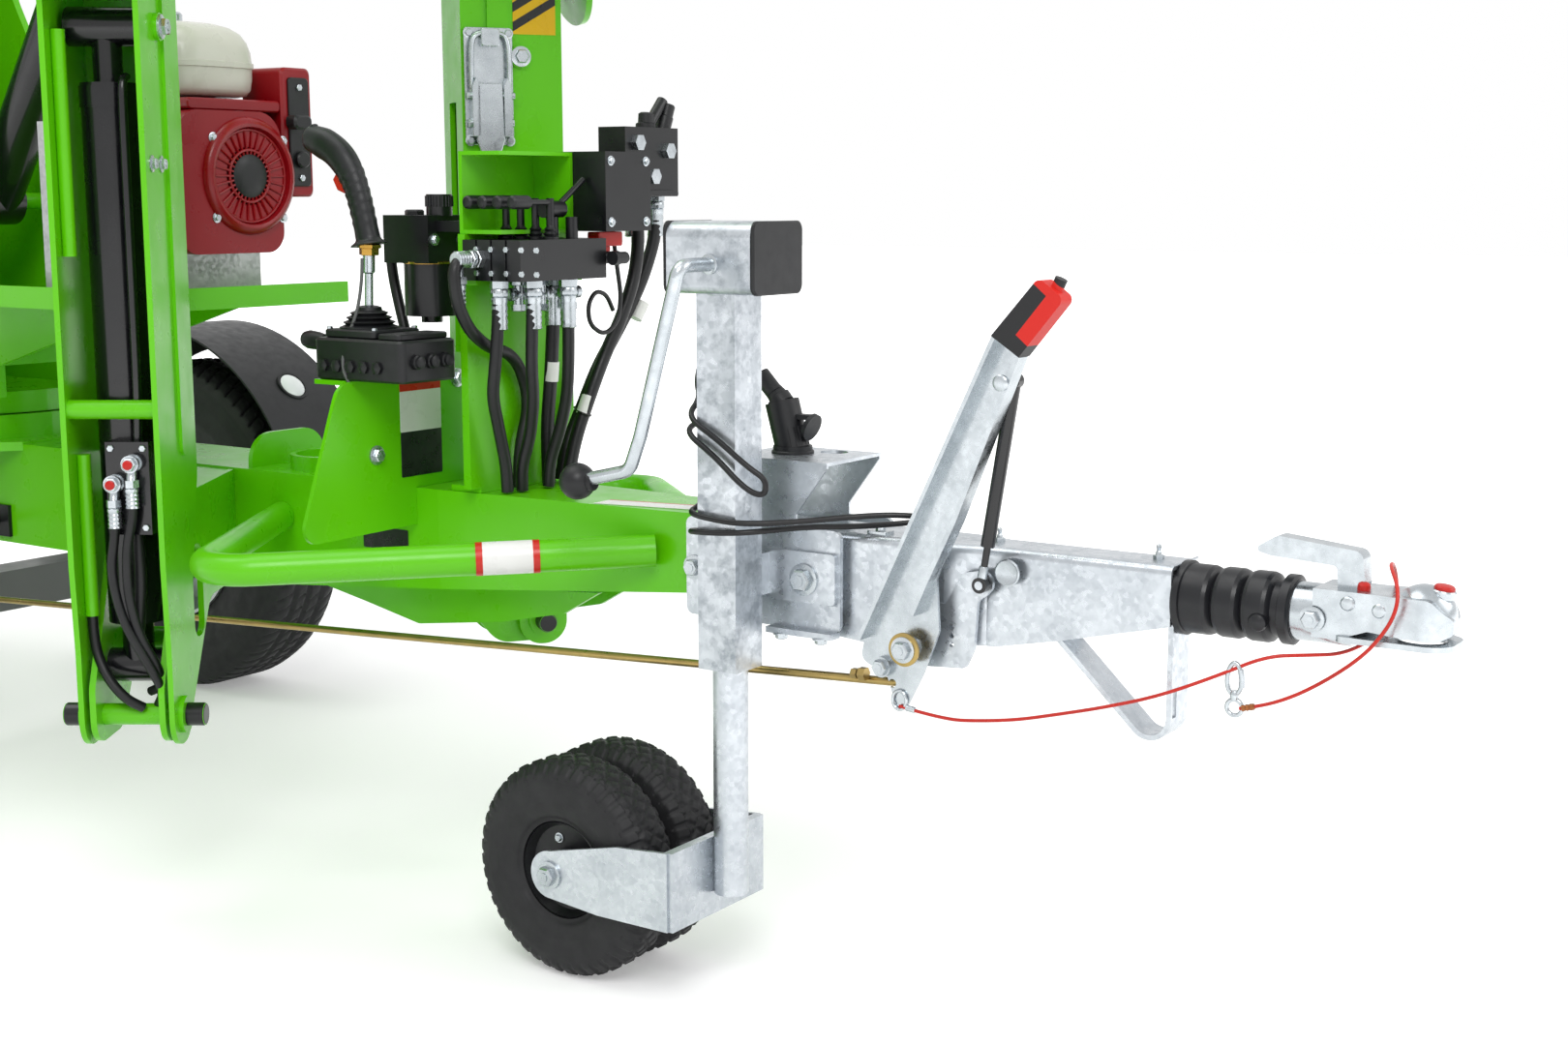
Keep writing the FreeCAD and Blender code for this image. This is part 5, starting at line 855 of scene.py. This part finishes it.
# Engine: cowl's pressed rim and spokes, hub, starter handle, screws, filler cap and the tank
fan = [turned((575.4, HUB_Y, HUB_Z), FORWARD, [(-3, 30), (2.4, 30), (4.6, 26), (5.4, 14), (5.6, 4)], 36)]
spokes = [swept([(576.6, HUB_Y + r * math.cos(a), HUB_Z + r * math.sin(a)) for r in (30, 46, 62)], 1.6, 8)
          for a in np.linspace(0, 2 * math.pi, 31)[:-1]]
rings = [swept(np.stack([np.full(40, 576.4), HUB_Y + r * np.cos(circle), HUB_Z + r * np.sin(circle)], -1),
               2.2, closed=True) for r in (64, 36)]
bulge = turned((574, HUB_Y, HUB_Z), FORWARD,
               [(0, 82), (4, 81), (9, 77), (11, 72), (10, 68), (2, 66), (1, 40)], 56)
piece("cowl_red_grille", "turret", RED_COWL, spokes + rings + [
    bulge, plate(rounded((17, 957), (74, 1140), 9), 478, 562, "x", 3.0),
    plate(rounded((-150, 1076), (16, 1092), 5), 430, 560, "x", 2.0)])
piece("cowl_hub", "turret", BLACK_PLASTIC, fan + [
    plate(rounded((28, 972), (66, 1126), 6), 560, 566, "x", 1.4),
    turned((566, 46, 1010), FORWARD, [(-2, 12), (6, 12), (8, 10), (8, 4)], 28),
    plate(rounded((10, 1052), (44, 1072), 8), 574, 596, "x", 3.0)])
piece("engine_screws", "turret", PLATE, [
    [hex_bolt((575, HUB_Y + 84 * math.cos(a), 984 + 80 * math.sin(a)), FORWARD, 9)
     for a in (0.7, 2.4, 3.9, 5.5)],
    [hex_bolt((566, 46, z), FORWARD, 9, False) for z in (984, 1112)],
    turned((*TANK_AT, 1199), UP, [(-1, 26), (4, 27), (14, 27), (17, 24), (17, 8)], 40)])
# Tank: 64 points whose plan is the rounded box (125·cos^0.5, 83·sin^0.5), sized at each level
corner = np.linspace(0, 2 * math.pi, 64, endpoint=False)
plan = np.stack([reach * np.sign(wave) * np.abs(wave) ** 0.5
                 for reach, wave in ((125, np.cos(corner)), (83, np.sin(corner)))], -1)
levels = [(1096, 0.80), (1098, 0.90), (1106, 0.955), (1120, 0.975), (1135, 0.98), (1136, 1.0), (1143, 1.0),
          (1144, 0.98), (1158, 0.97), (1172, 0.93), (1184, 0.86), (1193, 0.74), (1199, 0.56), (1202, 0.32)]
tank = piece("fuel_tank_pressing", "turret", TANK_WHITE, [
    shell([np.c_[plan * size + TANK_AT, np.full(64, level)] for level, size in levels])], 50.0)
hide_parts("fuel_tank")

# Labels are blank vinyl: bands and fields of colour alone
piece("label_white", "chassis", WHITE_VINYL, [
    plate(rounded((-109, 650), (-32, 704), 2), 902, 902.8, "x", 0.2),
    plate([(1190, -62), (1330, -34), (1330, -4), (1190, -32)], 574.2, 575.0, "z", 0.2)])
piece("label_red", "chassis", RED_VINYL, [
    plate(rounded((-109, 704), (-32, 717), 1), 902, 902.8, "x", 0.2),
    plate([(1190, -32), (1330, -4), (1330, 1), (1190, -27)], 574.2, 575.0, "z", 0.2)])
piece("label_black", "chassis", BLACK_VINYL, [
    plate(rounded((-109, 590), (-32, 650), 2), 902, 902.8, "x", 0.2)])
tube_from, tube_to = np.array((1290.0, -66.0, 524.0)), np.array((884.0, -448.0, 513.0))
for name, finish, low, high, lift in (("guard_label_white", WHITE_VINYL, 0.262, 0.388, 0.6),
                                      ("guard_label_red_near", RED_VINYL, 0.255, 0.27, 0.8),
                                      ("guard_label_red_far", RED_VINYL, 0.38, 0.395, 0.8)):
    start, stop = tube_from + (tube_to - tube_from) * low, tube_from + (tube_to - tube_from) * high
    wrap = [(0, 20 + lift), (np.linalg.norm(stop - start), 20 + lift)]
    piece(name, "chassis", finish, [turned(start, stop - start, wrap, 36)])


def leg_hoses():
    """Banjo fittings, ferrules, hoses and steel pipe at one leg's valve block, in the leg's own frame."""
    metal, rubber, red = [], [], []
    for along, up in ((25, 332), (2, 307)):
        banjo = [(0, 11), (3, 11), (3, 9.5), (15, 9.5), (15, 11), (18, 11)]
        metal += [turned((36.5, along, up), FORWARD, banjo, 24),
                  turned((54.5, along, up), FORWARD, [(0, 9.2), (6, 9.2), (7, 8)], 6),
                  swept(smooth([(46, along, up - 6), (47, along, up - 14), (50, along, up - 22)]), 6.2),
                  turned((50, along, up - 20), DOWN, [(0, 9.4), (9, 9.4), (10, 8.4)], 6),
                  crimp((50, along, up - 30), DOWN, 6, 26)]
        red.append(turned((61, along, up), FORWARD, [(0, 6), (2.4, 6), (3.4, 4)], 20))
    metal += [hex_bolt((36.8, along, up), FORWARD, 8, False)
              for along, up in ((-3, 350), (37, 350), (37, 250))]
    rubber.append(swept(smooth([(50, 2, 254), (50, 0, 236), (47, -8, 195), (46, 4, 130), (42, 34, 72),
                                (22, 44, 34), (2, 30, 14)]), 6.0))
    rubber.append(swept(smooth([(50, 25, 279), (50, 24, 262), (49, 14, 225), (46, 12, 165), (40, 22, 110),
                                (30, 40, 70), (10, 40, 40), (0, 20, 30)]), 6.0))
    rubber.append(swept(smooth([(20, 20, 243), (22, 21, 222), (26, 23, 179), (24, 18, 140), (14, 12, 104),
                                (4, 10, 90)]), 8.0))
    pipe = swept(smooth([(6, 30, 805), (22, 30, 800), (24, 30, 770), (24, 30, 700), (24, 30, 560),
                         (24, 30, 440), (22, 28, 390), (20, 26, 356)]), 5.5)
    return metal, rubber, red, pipe


def guide_hose():
    """Hose that leaves the leg's lower guide and bends in to the pivot."""
    return swept(smooth([(10, -46, 136), (10, -46, 112), (14, -42, 84), (24, -26, 52), (26, -4, 26),
                         (14, 14, 12)]), 6.5)


def toggle_latch():
    """Plated over-centre latch: base plate, two cheeks, lever and wire claw."""
    claw = smooth([(-98, -76, 806), (-99, -78, 850), (-98, -78, 884), (-92, -78, 898), (-70, -78, 900),
                   (-48, -78, 898), (-42, -78, 884), (-41, -78, 850), (-42, -76, 806)])
    return [plate(rounded((-107, 736), (-33, 908), 5), -65, -68.5, "y", 0.8),
            [plate([(x, 748), (x, 822), (x + 6, 834), (x + 12, 822), (x + 12, 748)], -68.5, -88, "y", 0.8)
             for x in (-100, -52)],
            plate([(-88, 724), (-58, 724), (-52, 742), (-54, 826), (-92, 826), (-94, 742)], -82, -88, "y",
                  1.2),
            plate(rounded((-84, 880), (-56, 906), 3), -68.5, -84, "y", 1.2),
            swept(claw, 4.0), turned((-106, -78, 808), FORWARD, [(0, 5.5), (72, 5.5)], 20),
            turned((-104, -78, 768), FORWARD, [(0, 6.5), (68, 6.5)], 20),
            [hex_bolt((out, -68.5, up), RIGHT, 10) for out in (-100, -40) for up in (742, 900)]]


# Each leg's pivot and the heading that its foot swings out to, in degrees
LEGS = {"front_right": (692, -388.5, -56), "front_left": (692, 388.5, 56),
        "rear_left": (-1058, 388.5, 124), "rear_right": (-1058, -388.5, -124)}
PIVOT_Z = 298
for corner, (x, y, heading) in LEGS.items():
    here = (x, y, PIVOT_Z, heading)
    metal, rubber, red, pipe = leg_hoses()
    barrel, leg = "leg_barrel_" + corner, "leg_" + corner
    piece("leg_fittings_" + corner, barrel, PLATE, at_place(flattened(metal), *here))
    piece("leg_hoses_" + corner, barrel, HOSE, at_place(rubber, *here))
    piece("leg_caps_" + corner, barrel, RED_PLASTIC, at_place(red, *here))
    piece("leg_pipe_" + corner, barrel, BLACK_GLOSS, at_place([pipe], *here))
    piece("leg_guide_hose_" + corner, leg, HOSE, at_place([guide_hose()], *here))
    piece("leg_latch_" + corner, leg, PLATE, at_place(flattened(toggle_latch()), *here))
    piece("leg_bolts_" + corner, leg, PLATE, at_place(flattened(
        [hex_bolt((-20, side * 67.2, 867), (0, side, 0), 19) for side in (-1, 1)] +
        [hex_bolt((out, side * 61.0, 700), (0, side, 0), 13)
         for out in (-16, 22) for side in (-1, 1)]), *here))
    ends = [turned((0, 0, 0), (0, side, 0), [(67.2, 15), (88, 15), (90.6, 13)], 30) for side in (-1, 1)]
    piece("pivot_pin_ends_" + corner, "chassis", BLACK_COAT, at_place(ends, *here))
    yellow, black = [], []
    for side in (-1, 1):
        low, high = sorted((side * 60.9, side * 61.7))
        yellow.append(plate([(-30, 900), (36, 900), (36, 1000), (-30, 1000)], low, high, "y", 0.2))
        low, high = sorted((side * 61.0, side * 62.1))
        black += [plate([(-30, up), (36, up + 40), (36, up + 54), (-30, up + 14)], low, high, "y", 0.2)
                  for up in (904, 932)]
    piece("leg_stripe_yellow_" + corner, leg, YELLOW_VINYL, at_place(yellow, *here))
    piece("leg_stripe_black_" + corner, leg, BLACK_VINYL, at_place(black, *here))

# Wheels: nuts and hub caps; mudguard lamps
for side, wheel in ((1, "left"), (-1, "right")):
    face = side * (HALF_TRACK + 43.5)
    nuts = [hex_bolt((AXLE_X + 66 * math.cos(a), face, WHEEL_R + 66 * math.sin(a)), (0, side, 0), 19)
            for a in np.linspace(0.3, 0.3 + 2 * math.pi, 6)[:-1]]
    cap = turned((AXLE_X, side * (HALF_TRACK + 61), WHEEL_R), (0, side, 0),
                 [(-1, 33), (10, 32), (16, 27), (19, 16), (20, 4)], 36)
    piece("wheel_nuts_" + wheel, "wheel_" + wheel, PLATE, nuts + [cap])
    lamp_at, tilt = np.array((-105.0, side * 622.0, 600.0)), (0.75, 0, 0.66)
    piece("lamp_housing_" + wheel, "chassis", BLACK_PLASTIC, [
        turned(lamp_at, tilt, [(-26, 30), (4, 32), (7, 31), (7, 27), (3, 26), (3, 2)], 40)])
    piece("lamp_lens_" + wheel, "chassis", CLEAR_LENS, [
        turned(lamp_at, tilt, [(2, 25.5), (6, 25.2), (9, 20), (10.4, 12), (10.8, 3)], 40)])

# Boom pins: a cap and a bolt on both ends of each pin; half is how far the pin reaches from the middle
for body, half, pins in (("turret", 128, ((-250, 1512), (-330, 1662), (-90, 950))),
                         ("knuckle", 74, ((1360, 1512), (1280, 1662), (1290, 1872)))):
    piece(body + "_pin_caps", body, PLATE, [
        [turned((x, side * (half - 0.4), z), (0, side, 0), [(0, 20), (2.4, 20), (3.4, 19)], 32),
         hex_bolt((x, side * (half + 3.0), z), (0, side, 0), 17, False)]
        for x, z in pins for side in (-1, 1)])

# Main beam: blank labels on its near side and the black data plate under the shield
piece("beam_label_white", "chassis", WHITE_VINYL, [
    plate(rounded((330, 452), (412, 486), 2), -82, -82.8, "y", 0.2),
    plate(rounded((196, 452), (262, 548), 2), -82, -82.8, "y", 0.2)])
piece("beam_label_yellow", "chassis", YELLOW_VINYL, [
    plate([(204, 476), (254, 476), (229, 520)], -82.7, -83.4, "y", 0.2)])
piece("beam_data_plate", "chassis", BLACK_VINYL, [
    plate(rounded((800, 484), (884, 514), 2), -82, -83, "y", 0.2)])

photo_camera()
studio()
